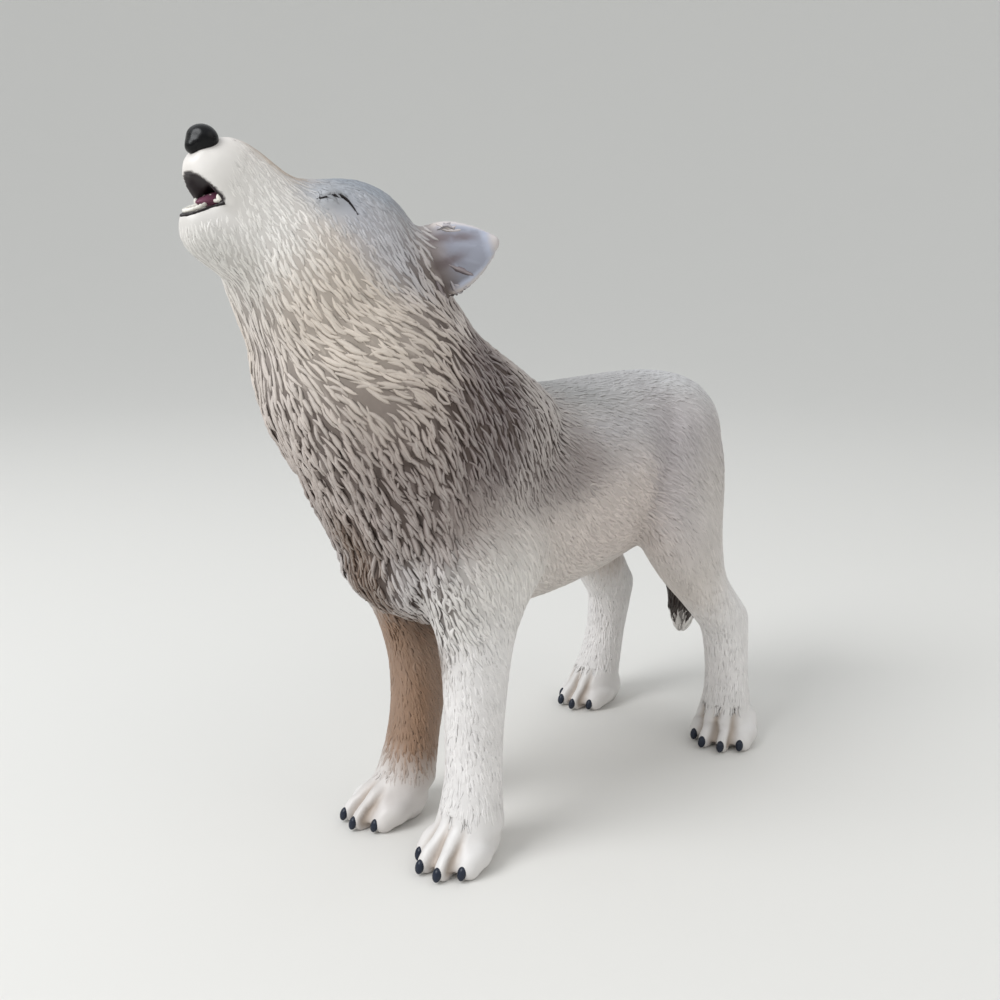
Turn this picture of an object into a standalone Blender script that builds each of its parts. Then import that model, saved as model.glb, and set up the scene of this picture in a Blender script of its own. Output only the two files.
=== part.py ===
# Howling wolf figurine, moulded in one piece of vinyl and standing on its four paws.
# The wolf faces -Y, its left side is +X, and it stands on z = 0.
# The body is first laid up from lofted sections, like clay on a bench, then fused into one skin.
# The fur is carved into that skin as overlapping locks that follow the lie of the coat.
# Lengths are metres. Section tables are in millimetres and become metres when they are lofted.

import math

import bmesh
import bpy
import numpy as np
from mathutils import Matrix

MM = 0.001

# Driving dimensions
BODY_HEIGHT = 44.0 * MM            # middle line of the trunk above the ground
TRUNK_LENGTH = 73.3 * MM           # breast to the end of the rump
CHEST_HALF_WIDTH = 12.2 * MM
STANCE_LENGTH = 53.8 * MM          # left fore paw to left hind paw
FORE_HALF_TRACK = 7.8 * MM
HIND_HALF_TRACK = 12.9 * MM
RIGHT_FORE_STEP = 1.0 * MM         # the right paws stand a little off the left ones
RIGHT_FORE_BEND = 3.6 * MM
RIGHT_FORE_TUCK = 0.8 * MM
RIGHT_HIND_STEP = -2.3 * MM
RIGHT_HIND_BEND = 3.4 * MM
RIGHT_HIND_TUCK = 1.0 * MM
NECK_HEIGHT = 32.0 * MM            # middle line of the trunk up to the back of the skull
NECK_HALF_WIDTH = 13.3 * MM
HEAD_PITCH = 43.0                  # degrees that the muzzle points above level
HEAD_LENGTH = 32.5 * MM
HEAD_HALF_WIDTH = 9.6 * MM
NOSE_REACH = 56.5 * MM             # nose ahead of the middle of the stance
NOSE_RISE = 6.3 * MM               # nose above the top of the neck
NOSE_PAD_HALF_WIDTH = 1.95 * MM
JAW_LENGTH = 14.0 * MM
JAW_HALF_WIDTH = 7.8 * MM
JAW_DROP = 6.7 * MM                # chin below the nose, with the mouth open
MOUTH_HALF_WIDTH = 2.7 * MM
MOUTH_DEPTH = 4.6 * MM
TOOTH_LENGTH = 2.0 * MM
TOOTH_RADIUS = 0.6 * MM
TONGUE_HALF_WIDTH = 1.6 * MM
EYE_BACK = 12.4 * MM               # eye behind the nose, along the head
EYE_UP = 5.2 * MM
EYE_SIDE = 5.6 * MM
EYE_RADIUS = 2.1 * MM
LID_WIDTH = 0.55 * MM
LID_DEPTH = 0.35 * MM
EAR_BACK = 23.8 * MM
EAR_UP = 9.4 * MM
EAR_SIDE = 8.2 * MM
EAR_LENGTH = 7.5 * MM
EAR_ROOT = 2.5 * MM                # depth of the ear's root in the skull
EAR_HALF_HEIGHT = 4.4 * MM
EAR_THICKNESS = 1.25 * MM
EAR_CUP = 1.7 * MM
TAIL_LENGTH = 40.7 * MM
TAIL_HALF_WIDTH = 3.6 * MM
PAW_HALF_WIDTH = 4.2 * MM
PAW_HEIGHT = 6.5 * MM
TOE_RADIUS = 1.5 * MM
TOE_REACH = 5.3 * MM
TOE_GAP_WIDTH = 0.7 * MM
TOE_GAP_DEPTH = 0.8 * MM
CLAW_RADIUS = 0.7 * MM

# Carving of the coat
MANE_LOCK = (10.0 * MM, 3.3 * MM, 1.5 * MM)      # length, width, depth
CHEEK_LOCK = (6.5 * MM, 2.9 * MM, 0.8 * MM)
CROWN_LOCK = (4.5 * MM, 2.3 * MM, 0.3 * MM)
COAT_LOCK = (7.0 * MM, 3.3 * MM, 0.6 * MM)
LEG_LOCK = (5.5 * MM, 2.6 * MM, 0.32 * MM)
TAIL_LOCK = (8.0 * MM, 3.2 * MM, 0.8 * MM)
MUZZLE_LOCK = (2.4 * MM, 1.5 * MM, 0.0 * MM)
LOCK_WAVE = 0.32                   # sideways sway of a lock, as a share of its width
COAT_SWIRL = 0.3                   # radians that the coat's lie drifts to either side
SWIRL_LENGTH = 14.0 * MM
BARE_RISE = 0.2                    # height of the skin between locks, as a share of a lock's depth
GUIDE_REACH = 7.0 * MM             # how far a guide of the coat has its say
ROOT_GAP_ALONG = 0.42              # spacing of the roots, as shares of a lock's length and width
ROOT_GAP_ACROSS = 0.8
ROOT_CANDIDATES = 0.22             # share of the skin's points that are tried as roots

# Fineness of the mesh
CLAY_GRAIN = 0.42 * MM
LOFT_STEP = 0.9 * MM
LOFT_SIDES = 48
CREASE_ROUNDS = 12
SMOOTH_ROUNDS = 3
FACE_LIMIT = 11640
PROBE_GRAIN = 1.2 * MM             # grid that finds the skin under a lock
SEED = 11

FUR_COLOUR = (0.52, 0.46, 0.40, 1.0)
FUR_ROUGHNESS = 0.5

# Places that the pieces share
SIDE = np.array([1.0, 0.0, 0.0])
BACK = np.array([0.0, 1.0, 0.0])
UP = np.array([0.0, 0.0, 1.0])
PITCH = math.radians(HEAD_PITCH)
HEAD_AXIS = np.array([0.0, math.cos(PITCH), -math.sin(PITCH)])
HEAD_UP = np.array([0.0, math.sin(PITCH), math.cos(PITCH)])
NOSE = np.array([0.0, -NOSE_REACH, BODY_HEIGHT + NECK_HEIGHT + NOSE_RISE])
CHIN = NOSE + np.array([0.0, -0.9 * MM, -JAW_DROP])
TRUNK_FRONT = np.array([0.0, -TRUNK_LENGTH * 0.505, BODY_HEIGHT])
TRUNK_END = TRUNK_FRONT + TRUNK_LENGTH * BACK
FORE_PAW_Y = -STANCE_LENGTH * 0.52
HIND_PAW_Y = FORE_PAW_Y + STANCE_LENGTH

# Sections of the trunk: share of its length, top and bottom from the middle line, share of the width
TRUNK_SECTIONS = [
    (0.0, 3.0, -8.0, 0.33), (0.034, 6.5, -11.5, 0.66), (0.095, 10.0, -13.6, 0.85),
    (0.164, 12.5, -14.4, 0.97), (0.26, 13.3, -15.0, 1.0), (0.37, 13.6, -15.2, 0.99),
    (0.48, 13.7, -14.6, 0.96), (0.587, 14.0, -13.4, 0.9), (0.7, 14.3, -11.7, 0.845),
    (0.79, 14.1, -10.5, 0.82), (0.873, 13.0, -9.3, 0.72), (0.935, 10.8, -6.3, 0.51),
    (0.982, 7.2, -2.4, 0.31), (1.0, 4.6, 0.5, 0.15)]

# Sections of the neck and mane: share of the neck's height, front and back of the section ahead of
# the middle of the stance, share of the width
NECK_SECTIONS = [
    (0.94, 46.2, 30.0, 0.56), (0.84, 48.0, 27.0, 0.69), (0.75, 49.2, 24.7, 0.77),
    (0.625, 49.1, 21.0, 0.86), (0.5, 48.6, 14.0, 0.925), (0.375, 47.5, 8.5, 0.98),
    (0.25, 45.2, 7.5, 1.0), (0.125, 42.4, 9.5, 0.99), (0.0, 40.2, 12.5, 0.955),
    (-0.125, 37.9, 15.5, 0.89), (-0.25, 35.4, 19.0, 0.775), (-0.36, 32.6, 22.0, 0.6),
    (-0.44, 30.0, 25.0, 0.38)]

# Sections of the head: share of its length, top and bottom from the nose's axis, share of the width
HEAD_SECTIONS = [
    (0.028, 2.4, -1.9, 0.17), (0.05, 3.7, -2.7, 0.26), (0.092, 4.8, -3.1, 0.32),
    (0.154, 5.5, -3.4, 0.365), (0.222, 5.9, -4.0, 0.44), (0.283, 6.8, -4.9, 0.54),
    (0.354, 9.1, -5.8, 0.7), (0.43, 11.8, -6.8, 0.84), (0.523, 13.5, -8.2, 0.94),
    (0.63, 13.8, -9.6, 0.99), (0.74, 13.1, -9.0, 1.0), (0.86, 10.5, -7.0, 0.9),
    (0.954, 6.0, -2.0, 0.68), (1.0, 3.5, 1.0, 0.36)]

# Sections of the lower jaw: share of its length, top and bottom from the chin, share of the width
JAW_SECTIONS = [
    (0.0, 1.2, -1.2, 0.13), (0.05, 1.7, -2.2, 0.25), (0.143, 1.9, -3.2, 0.36),
    (0.286, 2.1, -4.4, 0.45), (0.464, 2.3, -5.9, 0.57), (0.714, 2.2, -7.6, 0.76),
    (1.0, 1.0, -9.6, 1.0)]

# Sections of a leg: share of the body's height, front and back from the paw's middle, shift from
# the track towards the outside, half width
FORE_LEG_SECTIONS = [
    (1.136, 1.0, -8.0, -0.8, 2.5), (1.045, 4.5, -11.0, 0.1, 4.4), (0.932, 6.5, -13.0, 0.7, 5.2),
    (0.83, 6.2, -12.0, 0.8, 5.2), (0.727, 4.4, -8.8, 0.5, 4.6), (0.636, 2.9, -7.0, 0.2, 4.15),
    (0.5, 2.0, -6.1, -0.1, 3.8), (0.364, 1.6, -5.6, -0.3, 3.6), (0.25, 1.6, -5.3, -0.3, 3.6),
    (0.159, 2.4, -5.2, -0.2, 3.9), (0.091, 3.6, -5.2, 0.0, 4.3)]
HIND_LEG_SECTIONS = [
    (1.25, 11.8, 2.8, -7.4, 2.0), (1.16, 15.3, 0.0, -6.2, 4.1), (1.045, 17.6, -1.2, -5.6, 5.1),
    (0.932, 19.2, -0.1, -4.6, 5.3), (0.818, 19.6, 2.5, -3.1, 5.1), (0.727, 17.8, 3.5, -2.1, 4.6),
    (0.636, 14.8, 3.2, -1.4, 4.1), (0.557, 11.4, 0.6, -0.8, 3.7), (0.477, 8.0, -2.6, -0.4, 3.4),
    (0.409, 5.6, -2.8, -0.2, 3.2), (0.273, 4.2, -2.5, 0.0, 3.2), (0.17, 4.4, -3.0, 0.1, 3.5),
    (0.091, 5.8, -3.2, 0.1, 4.0)]

# Sections of the tail: share of its length below the root, front and back from the rump's end,
# share of the width
TAIL_SECTIONS = [
    (0.0, -9.0, -4.8, 0.55), (0.098, -6.6, -0.6, 0.8), (0.197, -5.4, 0.7, 0.86), (0.32, -5.0, 1.4, 0.92),
    (0.467, -4.9, 1.7, 1.0), (0.614, -5.0, 1.5, 0.97), (0.737, -5.1, 0.8, 0.88), (0.86, -5.1, -0.3, 0.7),
    (0.946, -4.9, -1.4, 0.48), (1.0, -4.4, -2.5, 0.2)]
TAIL_ROOT_UP = 10.0 * MM

# Paws: sideways, back, turn outwards in degrees, slimness
PAWS = [
    (FORE_HALF_TRACK, FORE_PAW_Y, 4.0, 1.0),
    (RIGHT_FORE_TUCK - FORE_HALF_TRACK, FORE_PAW_Y + RIGHT_FORE_STEP, -14.0, 1.0),
    (1.03 * HIND_HALF_TRACK, HIND_PAW_Y, 8.0, 1.07),
    (RIGHT_HIND_TUCK - HIND_HALF_TRACK, HIND_PAW_Y + RIGHT_HIND_STEP, -8.0, 0.95)]

# Toes across a paw: sideways and forward, as shares of the paw's half width and of the toes' reach
TOES = [(-0.84, 0.6), (-0.34, 1.0), (0.34, 1.0), (0.84, 0.6)]
TOE_GAPS = [-0.62, 0.0, 0.62]

# Guides of the coat: where (frame, sideways, back, up), which way the hair lies, and which lock
GUIDES = [
    ("head", (0.0, 4.0, 4.5), (0.0, 1.0, -0.3), MUZZLE_LOCK),
    ("head", (3.4, 6.0, -1.0), (0.1, 1.0, -0.3), MUZZLE_LOCK),
    ("head", (3.2, 3.0, -7.5), (0.2, 1.0, -0.4), MUZZLE_LOCK),
    ("head", (3.0, 13.0, 10.0), (0.2, 1.0, -0.5), CROWN_LOCK),
    ("head", (6.5, 13.5, 4.5), (0.3, 1.0, -0.6), CROWN_LOCK),
    ("head", (3.0, 22.0, 12.5), (0.2, 1.0, -0.5), CROWN_LOCK),
    ("head", (7.5, 15.0, -2.0), (0.3, 0.75, -0.9), CHEEK_LOCK),
    ("head", (9.0, 22.0, 0.0), (0.2, 0.6, -0.9), CHEEK_LOCK),
    ("head", (4.5, 12.0, -9.0), (0.1, 0.75, -0.9), CHEEK_LOCK),
    ("body", (0.0, -50.0, 18.0), (0.0, 0.1, -1.0), MANE_LOCK),
    ("body", (8.0, -44.0, 14.0), (0.0, 0.3, -1.0), MANE_LOCK),
    ("body", (12.0, -33.0, 20.0), (0.1, 0.45, -1.0), MANE_LOCK),
    ("body", (12.0, -30.0, 8.0), (-0.1, 0.3, -1.0), MANE_LOCK),
    ("body", (6.0, -20.0, 19.0), (0.2, 0.9, -0.75), MANE_LOCK),
    ("body", (0.0, -18.0, 20.0), (0.0, 1.0, -0.6), MANE_LOCK),
    ("body", (11.5, -16.0, 10.0), (0.1, 0.7, -0.8), MANE_LOCK),
    ("body", (0.0, -40.0, -4.0), (0.0, 0.45, -1.0), MANE_LOCK),
    ("body", (7.0, -34.0, -8.0), (-0.2, 0.4, -1.0), MANE_LOCK),
    ("body", (13.0, -26.0, -5.0), (0.0, 0.35, -1.0), COAT_LOCK),
    ("body", (0.0, -4.0, 14.0), (0.0, 1.0, -0.1), COAT_LOCK),
    ("body", (0.0, 14.0, 14.5), (0.0, 1.0, -0.05), COAT_LOCK),
    ("body", (11.0, -4.0, 4.0), (0.0, 1.0, -0.5), COAT_LOCK),
    ("body", (10.5, 8.0, -2.0), (0.0, 1.0, -0.55), COAT_LOCK),
    ("body", (5.0, 0.0, -14.0), (0.0, 1.0, -0.2), COAT_LOCK),
    ("body", (5.0, -22.0, -14.5), (0.0, 0.9, -0.6), COAT_LOCK),
    ("body", (7.0, 26.0, 10.0), (0.1, 0.8, -0.8), COAT_LOCK),
    ("body", (12.0, 16.0, 2.0), (0.0, 0.6, -1.0), COAT_LOCK),
    ("body", (13.0, 14.0, -9.0), (0.0, 0.45, -1.0), COAT_LOCK),
    ("body", (9.0, -26.0, -17.0), (0.0, 0.0, -1.0), LEG_LOCK),
    ("body", (8.0, -26.0, -28.0), (0.0, 0.0, -1.0), LEG_LOCK),
    ("body", (8.0, -26.0, -37.0), (0.0, -0.1, -1.0), LEG_LOCK),
    ("body", (12.5, 24.0, -22.0), (0.0, 0.2, -1.0), LEG_LOCK),
    ("body", (13.0, 25.0, -35.0), (0.0, -0.1, -1.0), LEG_LOCK),
    ("body", (0.0, 37.0, -2.0), (0.0, 0.1, -1.0), TAIL_LOCK),
    ("body", (0.0, 35.0, -20.0), (0.0, -0.1, -1.0), TAIL_LOCK)]


def smooth_rows(rows, stations_per_gap):
    """Return the rows with points added between them on a Catmull-Rom curve."""
    rows = np.asarray(rows, dtype=float)
    padded = np.vstack([2 * rows[0] - rows[1], rows, 2 * rows[-1] - rows[-2]])
    out = []
    for i, count in enumerate(stations_per_gap):
        before, start, end, after = padded[i:i + 4]
        for k in range(count):
            t = k / count
            out.append(0.5 * (2 * start + (end - before) * t
                              + (2 * before - 5 * start + 4 * end - after) * t ** 2
                              + (3 * start - before - 3 * end + after) * t ** 3))
    out.append(rows[-1])
    return np.array(out)


def loft(clay, origin, along, outward, sections, squareness=2.15):
    """Add a closed loft of rounded sections to the clay.

    Each section is (distance along, top, bottom, sideways shift, half width), in metres.
    """
    sections = np.asarray(sections, dtype=float)
    gaps = np.abs(np.diff(sections[:, 0]))
    rows = smooth_rows(sections, [max(2, math.ceil(gap / LOFT_STEP)) for gap in gaps])
    turn = np.linspace(0.0, 2.0 * math.pi, LOFT_SIDES, endpoint=False)
    power = 2.0 / squareness
    across = np.sign(np.cos(turn)) * np.abs(np.cos(turn)) ** power
    rise = np.sign(np.sin(turn)) * np.abs(np.sin(turn)) ** power
    rings = []
    for distance, top, bottom, shift, half_width in rows:
        side = shift + max(half_width, 0.05 * MM) * across
        height = (top + bottom) / 2 + max(abs(top - bottom) / 2, 0.05 * MM) * rise
        points = origin + distance * along + np.outer(height, outward) + np.outer(side, SIDE)
        rings.append([clay.verts.new(point) for point in points])
    faces = []
    for ring, following in zip(rings, rings[1:]):
        for j in range(LOFT_SIDES):
            k = (j + 1) % LOFT_SIDES
            faces.append(clay.faces.new((ring[j], ring[k], following[k], following[j])))
    faces.append(clay.faces.new(list(reversed(rings[0]))))
    faces.append(clay.faces.new(rings[-1]))
    bmesh.ops.recalc_face_normals(clay, faces=faces)


def frame_matrix(origin, x_axis, y_axis, z_axis, scale=(1.0, 1.0, 1.0)):
    """Return the matrix of a frame, with its axes stretched by scale."""
    axes = [np.asarray(axis) * factor for axis, factor in zip((x_axis, y_axis, z_axis), scale)]
    columns = [*axes, np.asarray(origin)]
    rows = [[column[i] for column in columns] for i in range(3)]
    return Matrix([*rows, [0.0, 0.0, 0.0, 1.0]])


def press_on(clay, lump):
    """Press a closed lump onto the clay; the lump is used up."""
    bmesh.ops.recalc_face_normals(lump, faces=lump.faces)
    mesh = bpy.data.meshes.new("lump")
    lump.to_mesh(mesh)
    lump.free()
    clay.from_mesh(mesh)
    bpy.data.meshes.remove(mesh)


def ball(clay, origin, radii, x_axis=SIDE, y_axis=BACK, z_axis=UP):
    """Add a ball stretched to three radii."""
    matrix = frame_matrix(origin, x_axis, y_axis, z_axis, radii)
    lump = bmesh.new()
    bmesh.ops.create_uvsphere(lump, u_segments=24, v_segments=14, radius=1.0, matrix=matrix)
    press_on(clay, lump)


def cone(clay, root, direction, radius, length):
    """Add a tooth-like cone that stands on root."""
    direction = direction / np.linalg.norm(direction)
    side = SIDE
    third = np.cross(direction, side)
    matrix = frame_matrix(root + direction * length / 2, side, third, direction)
    lump = bmesh.new()
    bmesh.ops.create_cone(lump, cap_ends=True, segments=12, radius1=radius, radius2=radius * 0.25,
                          depth=length, matrix=matrix)
    press_on(clay, lump)


def head_point(side, back, up):
    """Return the place that lies side, back and up from the nose in the head's own frame."""
    return NOSE + side * SIDE + back * HEAD_AXIS + up * HEAD_UP


def add_trunk(clay):
    """Lay up the trunk, from the breast to the rump."""
    rows = [(share * TRUNK_LENGTH, top * MM, bottom * MM, 0.0, width * CHEST_HALF_WIDTH)
            for share, top, bottom, width in TRUNK_SECTIONS]
    loft(clay, TRUNK_FRONT, BACK, UP, rows)


def add_neck(clay):
    """Lay up the neck and the mane from the top down."""
    rows = [(-share * NECK_HEIGHT, front * MM, back * MM, 0.0, width * NECK_HALF_WIDTH)
            for share, front, back, width in NECK_SECTIONS]
    loft(clay, BODY_HEIGHT * UP, -UP, -BACK, rows)


def add_head(clay):
    """Lay up the skull and upper muzzle, with the nose pad and the closed eyes."""
    rows = [(share * HEAD_LENGTH, top * MM, bottom * MM, 0.0, width * HEAD_HALF_WIDTH)
            for share, top, bottom, width in HEAD_SECTIONS]
    loft(clay, NOSE, HEAD_AXIS, HEAD_UP, rows, squareness=2.2)
    pad = NOSE_PAD_HALF_WIDTH
    ball(clay, head_point(0.0, 0.28 * pad, 1.1 * pad), (pad, 0.77 * pad, 0.82 * pad),
         SIDE, HEAD_AXIS, HEAD_UP)
    ball(clay, head_point(0.0, 0.4 * pad, 0.7 * pad), (0.7 * pad, 0.5 * pad, 0.6 * pad),
         SIDE, HEAD_AXIS, HEAD_UP)
    for side in (-1, 1):
        ball(clay, head_point(side * EYE_SIDE, EYE_BACK, EYE_UP),
             (0.62 * EYE_RADIUS, EYE_RADIUS, 0.72 * EYE_RADIUS), SIDE, HEAD_AXIS, HEAD_UP)


def add_jaw(clay):
    """Lay up the lower jaw."""
    rows = [(share * JAW_LENGTH, top * MM, bottom * MM, 0.0, width * JAW_HALF_WIDTH)
            for share, top, bottom, width in JAW_SECTIONS]
    loft(clay, CHIN, BACK, UP, rows, squareness=2.25)


def add_mouth_parts(clay):
    """Add the tongue and the four canine teeth inside the hollow of the mouth."""
    tongue = TONGUE_HALF_WIDTH
    ball(clay, CHIN + 2.7 * tongue * BACK + 0.75 * tongue * UP, (tongue, 2.1 * tongue, 0.5 * tongue))
    for side in (-1, 1):
        lower = CHIN + side * 0.95 * tongue * SIDE + 0.8 * tongue * BACK + 0.1 * tongue * UP
        cone(clay, lower, UP + 0.15 * side * SIDE, TOOTH_RADIUS, TOOTH_LENGTH)
        upper = head_point(side * 1.05 * tongue, 1.9 * tongue, -0.6 * tongue)
        cone(clay, upper, -HEAD_UP + 0.1 * side * SIDE, TOOTH_RADIUS, TOOTH_LENGTH)


def mouth_hollow():
    """Return the cutter that hollows the mouth between the jaws."""
    hollow = bmesh.new()
    ball(hollow, CHIN + 0.75 * MOUTH_DEPTH * BACK + 0.42 * JAW_DROP * UP,
         (MOUTH_HALF_WIDTH, MOUTH_DEPTH, 0.27 * JAW_DROP),
         SIDE, 0.5 * (BACK + HEAD_AXIS), 0.5 * (UP + HEAD_UP))
    return object_from(hollow, "mouth_hollow")


def add_legs(clay):
    """Lay up the four legs, each down to its paw."""
    for side in (-1, 1):
        right = side < 0
        fore_track = FORE_HALF_TRACK - RIGHT_FORE_TUCK * right
        hind_track = HIND_HALF_TRACK - RIGHT_HIND_TUCK * right
        legs = [(FORE_PAW_Y, fore_track, FORE_LEG_SECTIONS, RIGHT_FORE_STEP, RIGHT_FORE_BEND, 0.46),
                (HIND_PAW_Y, hind_track, HIND_LEG_SECTIONS, RIGHT_HIND_STEP, RIGHT_HIND_BEND, 0.59)]
        for paw_y, track, sections, step, bend, bend_share in legs:
            rows = []
            for share, front, back, out, half_width in sections:
                step_here = step * math.exp(-(share / 0.2) ** 2)
                bend_here = bend * math.exp(-((share - bend_share) / 0.33) ** 2)
                ahead = -(step_here + bend_here) * right
                rows.append((-share * BODY_HEIGHT, front * MM + ahead, back * MM + ahead,
                             side * (track + out * MM), half_width * MM))
            loft(clay, paw_y * BACK, -UP, -BACK, rows)


def paw_frame(x, y, turn):
    """Return a paw's middle on the ground, and the ways forward and across."""
    angle = math.radians(turn)
    forward = np.array([math.sin(angle), -math.cos(angle), 0.0])
    across = np.array([math.cos(angle), math.sin(angle), 0.0])
    return np.array([x, y, 0.0]), forward, across


def add_paw(clay, x, y, turn, slim):
    """Lay up one paw with four toes and their claws; the toes point along -Y, turned about Z."""
    middle, forward, across = paw_frame(x, y, turn)
    wide = PAW_HALF_WIDTH * slim
    ball(clay, middle - 0.1 * TOE_REACH * forward + 0.4 * PAW_HEIGHT * UP,
         (0.97 * wide, 0.82 * TOE_REACH, 0.6 * PAW_HEIGHT), across, -forward)
    ball(clay, middle + 0.32 * TOE_REACH * forward + 0.34 * PAW_HEIGHT * UP,
         (0.93 * wide, 0.66 * TOE_REACH, 0.5 * PAW_HEIGHT), across, -forward)
    for sideways, reach in TOES:
        toe = middle + sideways * wide * across
        tip = toe + reach * TOE_REACH * forward
        ball(clay, tip - TOE_RADIUS * forward + 1.35 * TOE_RADIUS * UP,
             (TOE_RADIUS, 1.7 * TOE_RADIUS, 1.2 * TOE_RADIUS), across, -forward)
        ball(clay, tip + 0.85 * TOE_RADIUS * UP,
             (0.9 * TOE_RADIUS, 1.1 * TOE_RADIUS, 1.05 * TOE_RADIUS), across, -forward)
        ball(clay, tip + 0.8 * TOE_RADIUS * forward + 1.2 * CLAW_RADIUS * UP,
             (0.8 * CLAW_RADIUS, CLAW_RADIUS, 1.1 * CLAW_RADIUS), across, -forward)


def toe_grooves(points):
    """Return the depth of the grooves that part the toes."""
    depth = np.zeros(len(points))
    for x, y, turn, slim in PAWS:
        middle, forward, across = paw_frame(x, y, turn)
        ahead = (points - middle) @ forward / TOE_REACH
        sideways = (points - middle) @ across / (PAW_HALF_WIDTH * slim)
        near = (np.abs(sideways) < 1.3) & (np.abs(ahead) < 1.6) & (points[:, 2] < PAW_HEIGHT)
        for gap in TOE_GAPS:
            line = (sideways - gap * (0.7 + 0.3 * ahead)) * PAW_HALF_WIDTH / TOE_GAP_WIDTH
            reach = np.clip((ahead - 0.3) / 0.45, 0.0, 1.0) * near
            depth = np.maximum(depth, TOE_GAP_DEPTH * np.exp(-line ** 2) * reach)
    return depth


def add_tail(clay):
    """Lay up the hanging tail."""
    rows = [(share * TAIL_LENGTH, -front * MM, -back * MM, 0.0, width * TAIL_HALF_WIDTH)
            for share, front, back, width in TAIL_SECTIONS]
    loft(clay, TRUNK_END + TAIL_ROOT_UP * UP, -UP, -BACK, rows)


def ear_object(side):
    """Return one cupped ear: an open sheet that Solidify gives its thickness."""
    tip = 4.9 * side * SIDE + 1.8 * HEAD_AXIS + 4.1 * HEAD_UP
    tip /= np.linalg.norm(tip)
    rise = -2.0 * side * SIDE - 6.9 * HEAD_AXIS + 4.5 * HEAD_UP
    rise -= (rise @ tip) * tip
    rise /= np.linalg.norm(rise)
    hollow = np.cross(rise, tip)
    hollow *= -np.sign(hollow[1])
    origin = head_point(side * EAR_SIDE, EAR_BACK, EAR_UP)
    sheet = bmesh.new()
    bmesh.ops.create_grid(sheet, x_segments=16, y_segments=14, size=0.5)
    for vert in sheet.verts:
        along = vert.co.x + 0.5
        height = vert.co.y * 2.0
        distance = along * (EAR_LENGTH + EAR_ROOT) - EAR_ROOT
        share = max(distance, 0.0) / EAR_LENGTH
        bulge = 1.7 if height > 0 else 2.1
        half = EAR_HALF_HEIGHT * max(1.0 - share ** bulge, 0.003) ** 0.9
        cup = EAR_CUP * (1.0 - 0.9 * along) * (height ** 2 - 0.6)
        vert.co = origin + distance * tip + height * half * rise - cup * hollow
    ear = object_from(sheet, "ear_sheet")
    shell = ear.modifiers.new("thickness", "SOLIDIFY")
    shell.thickness = EAR_THICKNESS
    shell.offset = 0.0
    return ear


def evaluated_mesh(obj):
    """Return a new mesh of the object with its modifiers applied."""
    graph = bpy.context.evaluated_depsgraph_get()
    return bpy.data.meshes.new_from_object(obj.evaluated_get(graph))


def object_from(shape, name):
    """Turn a bmesh into an object of the scene; the bmesh is used up."""
    mesh = bpy.data.meshes.new(name)
    shape.to_mesh(mesh)
    shape.free()
    obj = bpy.data.objects.new(name, mesh)
    bpy.context.scene.collection.objects.link(obj)
    return obj


def add_fuse(lump):
    """Give the lump a remesh that fuses what overlaps into one skin."""
    fuse = lump.modifiers.new("fuse", "REMESH")
    fuse.mode = "VOXEL"
    fuse.voxel_size = CLAY_GRAIN


def fused_skin():
    """Lay up all the clay, hollow the mouth and fuse the whole into one closed skin."""
    clay = bmesh.new()
    add_trunk(clay)
    add_neck(clay)
    add_head(clay)
    add_jaw(clay)
    add_legs(clay)
    for paw in PAWS:
        add_paw(clay, *paw)
    add_tail(clay)
    for side in (-1, 1):
        ear = ear_object(side)
        shape = bmesh.new()
        shape.from_mesh(evaluated_mesh(ear))
        press_on(clay, shape)
        bpy.data.objects.remove(ear)
    lump = object_from(clay, "clay")
    add_fuse(lump)
    hollow = mouth_hollow()
    cut = lump.modifiers.new("mouth", "BOOLEAN")
    cut.operation = "DIFFERENCE"
    cut.object = hollow
    whole = bmesh.new()
    whole.from_mesh(evaluated_mesh(lump))
    add_mouth_parts(whole)
    bpy.data.objects.remove(lump)
    bpy.data.objects.remove(hollow)
    lump = object_from(whole, "skin")
    add_fuse(lump)
    skin = evaluated_mesh(lump)
    bpy.data.objects.remove(lump)
    return skin


def mesh_arrays(mesh):
    """Return a mesh's points, triangles and edges as arrays."""
    points = np.empty(len(mesh.vertices) * 3, dtype=np.float32)
    mesh.vertices.foreach_get("co", points)
    mesh.calc_loop_triangles()
    triangles = np.empty(len(mesh.loop_triangles) * 3, dtype=np.int32)
    mesh.loop_triangles.foreach_get("vertices", triangles)
    edges = np.empty(len(mesh.edges) * 2, dtype=np.int32)
    mesh.edges.foreach_get("vertices", edges)
    return points.reshape(-1, 3).astype(float), triangles.reshape(-1, 3), edges.reshape(-1, 2)


def point_normals(points, triangles):
    """Return the outward normal at each point."""
    corners = points[triangles]
    faces = np.cross(corners[:, 1] - corners[:, 0], corners[:, 2] - corners[:, 0])
    total = np.zeros_like(points)
    for corner in range(3):
        for axis in range(3):
            total[:, axis] += np.bincount(triangles[:, corner], faces[:, axis], len(points))
    return total / np.maximum(np.linalg.norm(total, axis=1, keepdims=True), 1e-20)


def relax(points, triangles, edges, rounds, fill_share=None):
    """Smooth the skin, or with fill_share only fill its creases, each by its own share."""
    neighbours = np.bincount(edges.ravel(), minlength=len(points))[:, None]
    for _ in range(int(rounds)):
        total = np.empty_like(points)
        for axis in range(3):
            total[:, axis] = np.bincount(edges[:, 0], points[edges[:, 1], axis], len(points))
            total[:, axis] += np.bincount(edges[:, 1], points[edges[:, 0], axis], len(points))
        step = 0.5 * (total / neighbours - points)
        if fill_share is not None:
            normals = point_normals(points, triangles)
            outward = np.maximum(np.sum(step * normals, axis=1, keepdims=True), 0.0)
            step = fill_share[:, None] * outward * normals
        points = points + step
    return points


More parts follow.
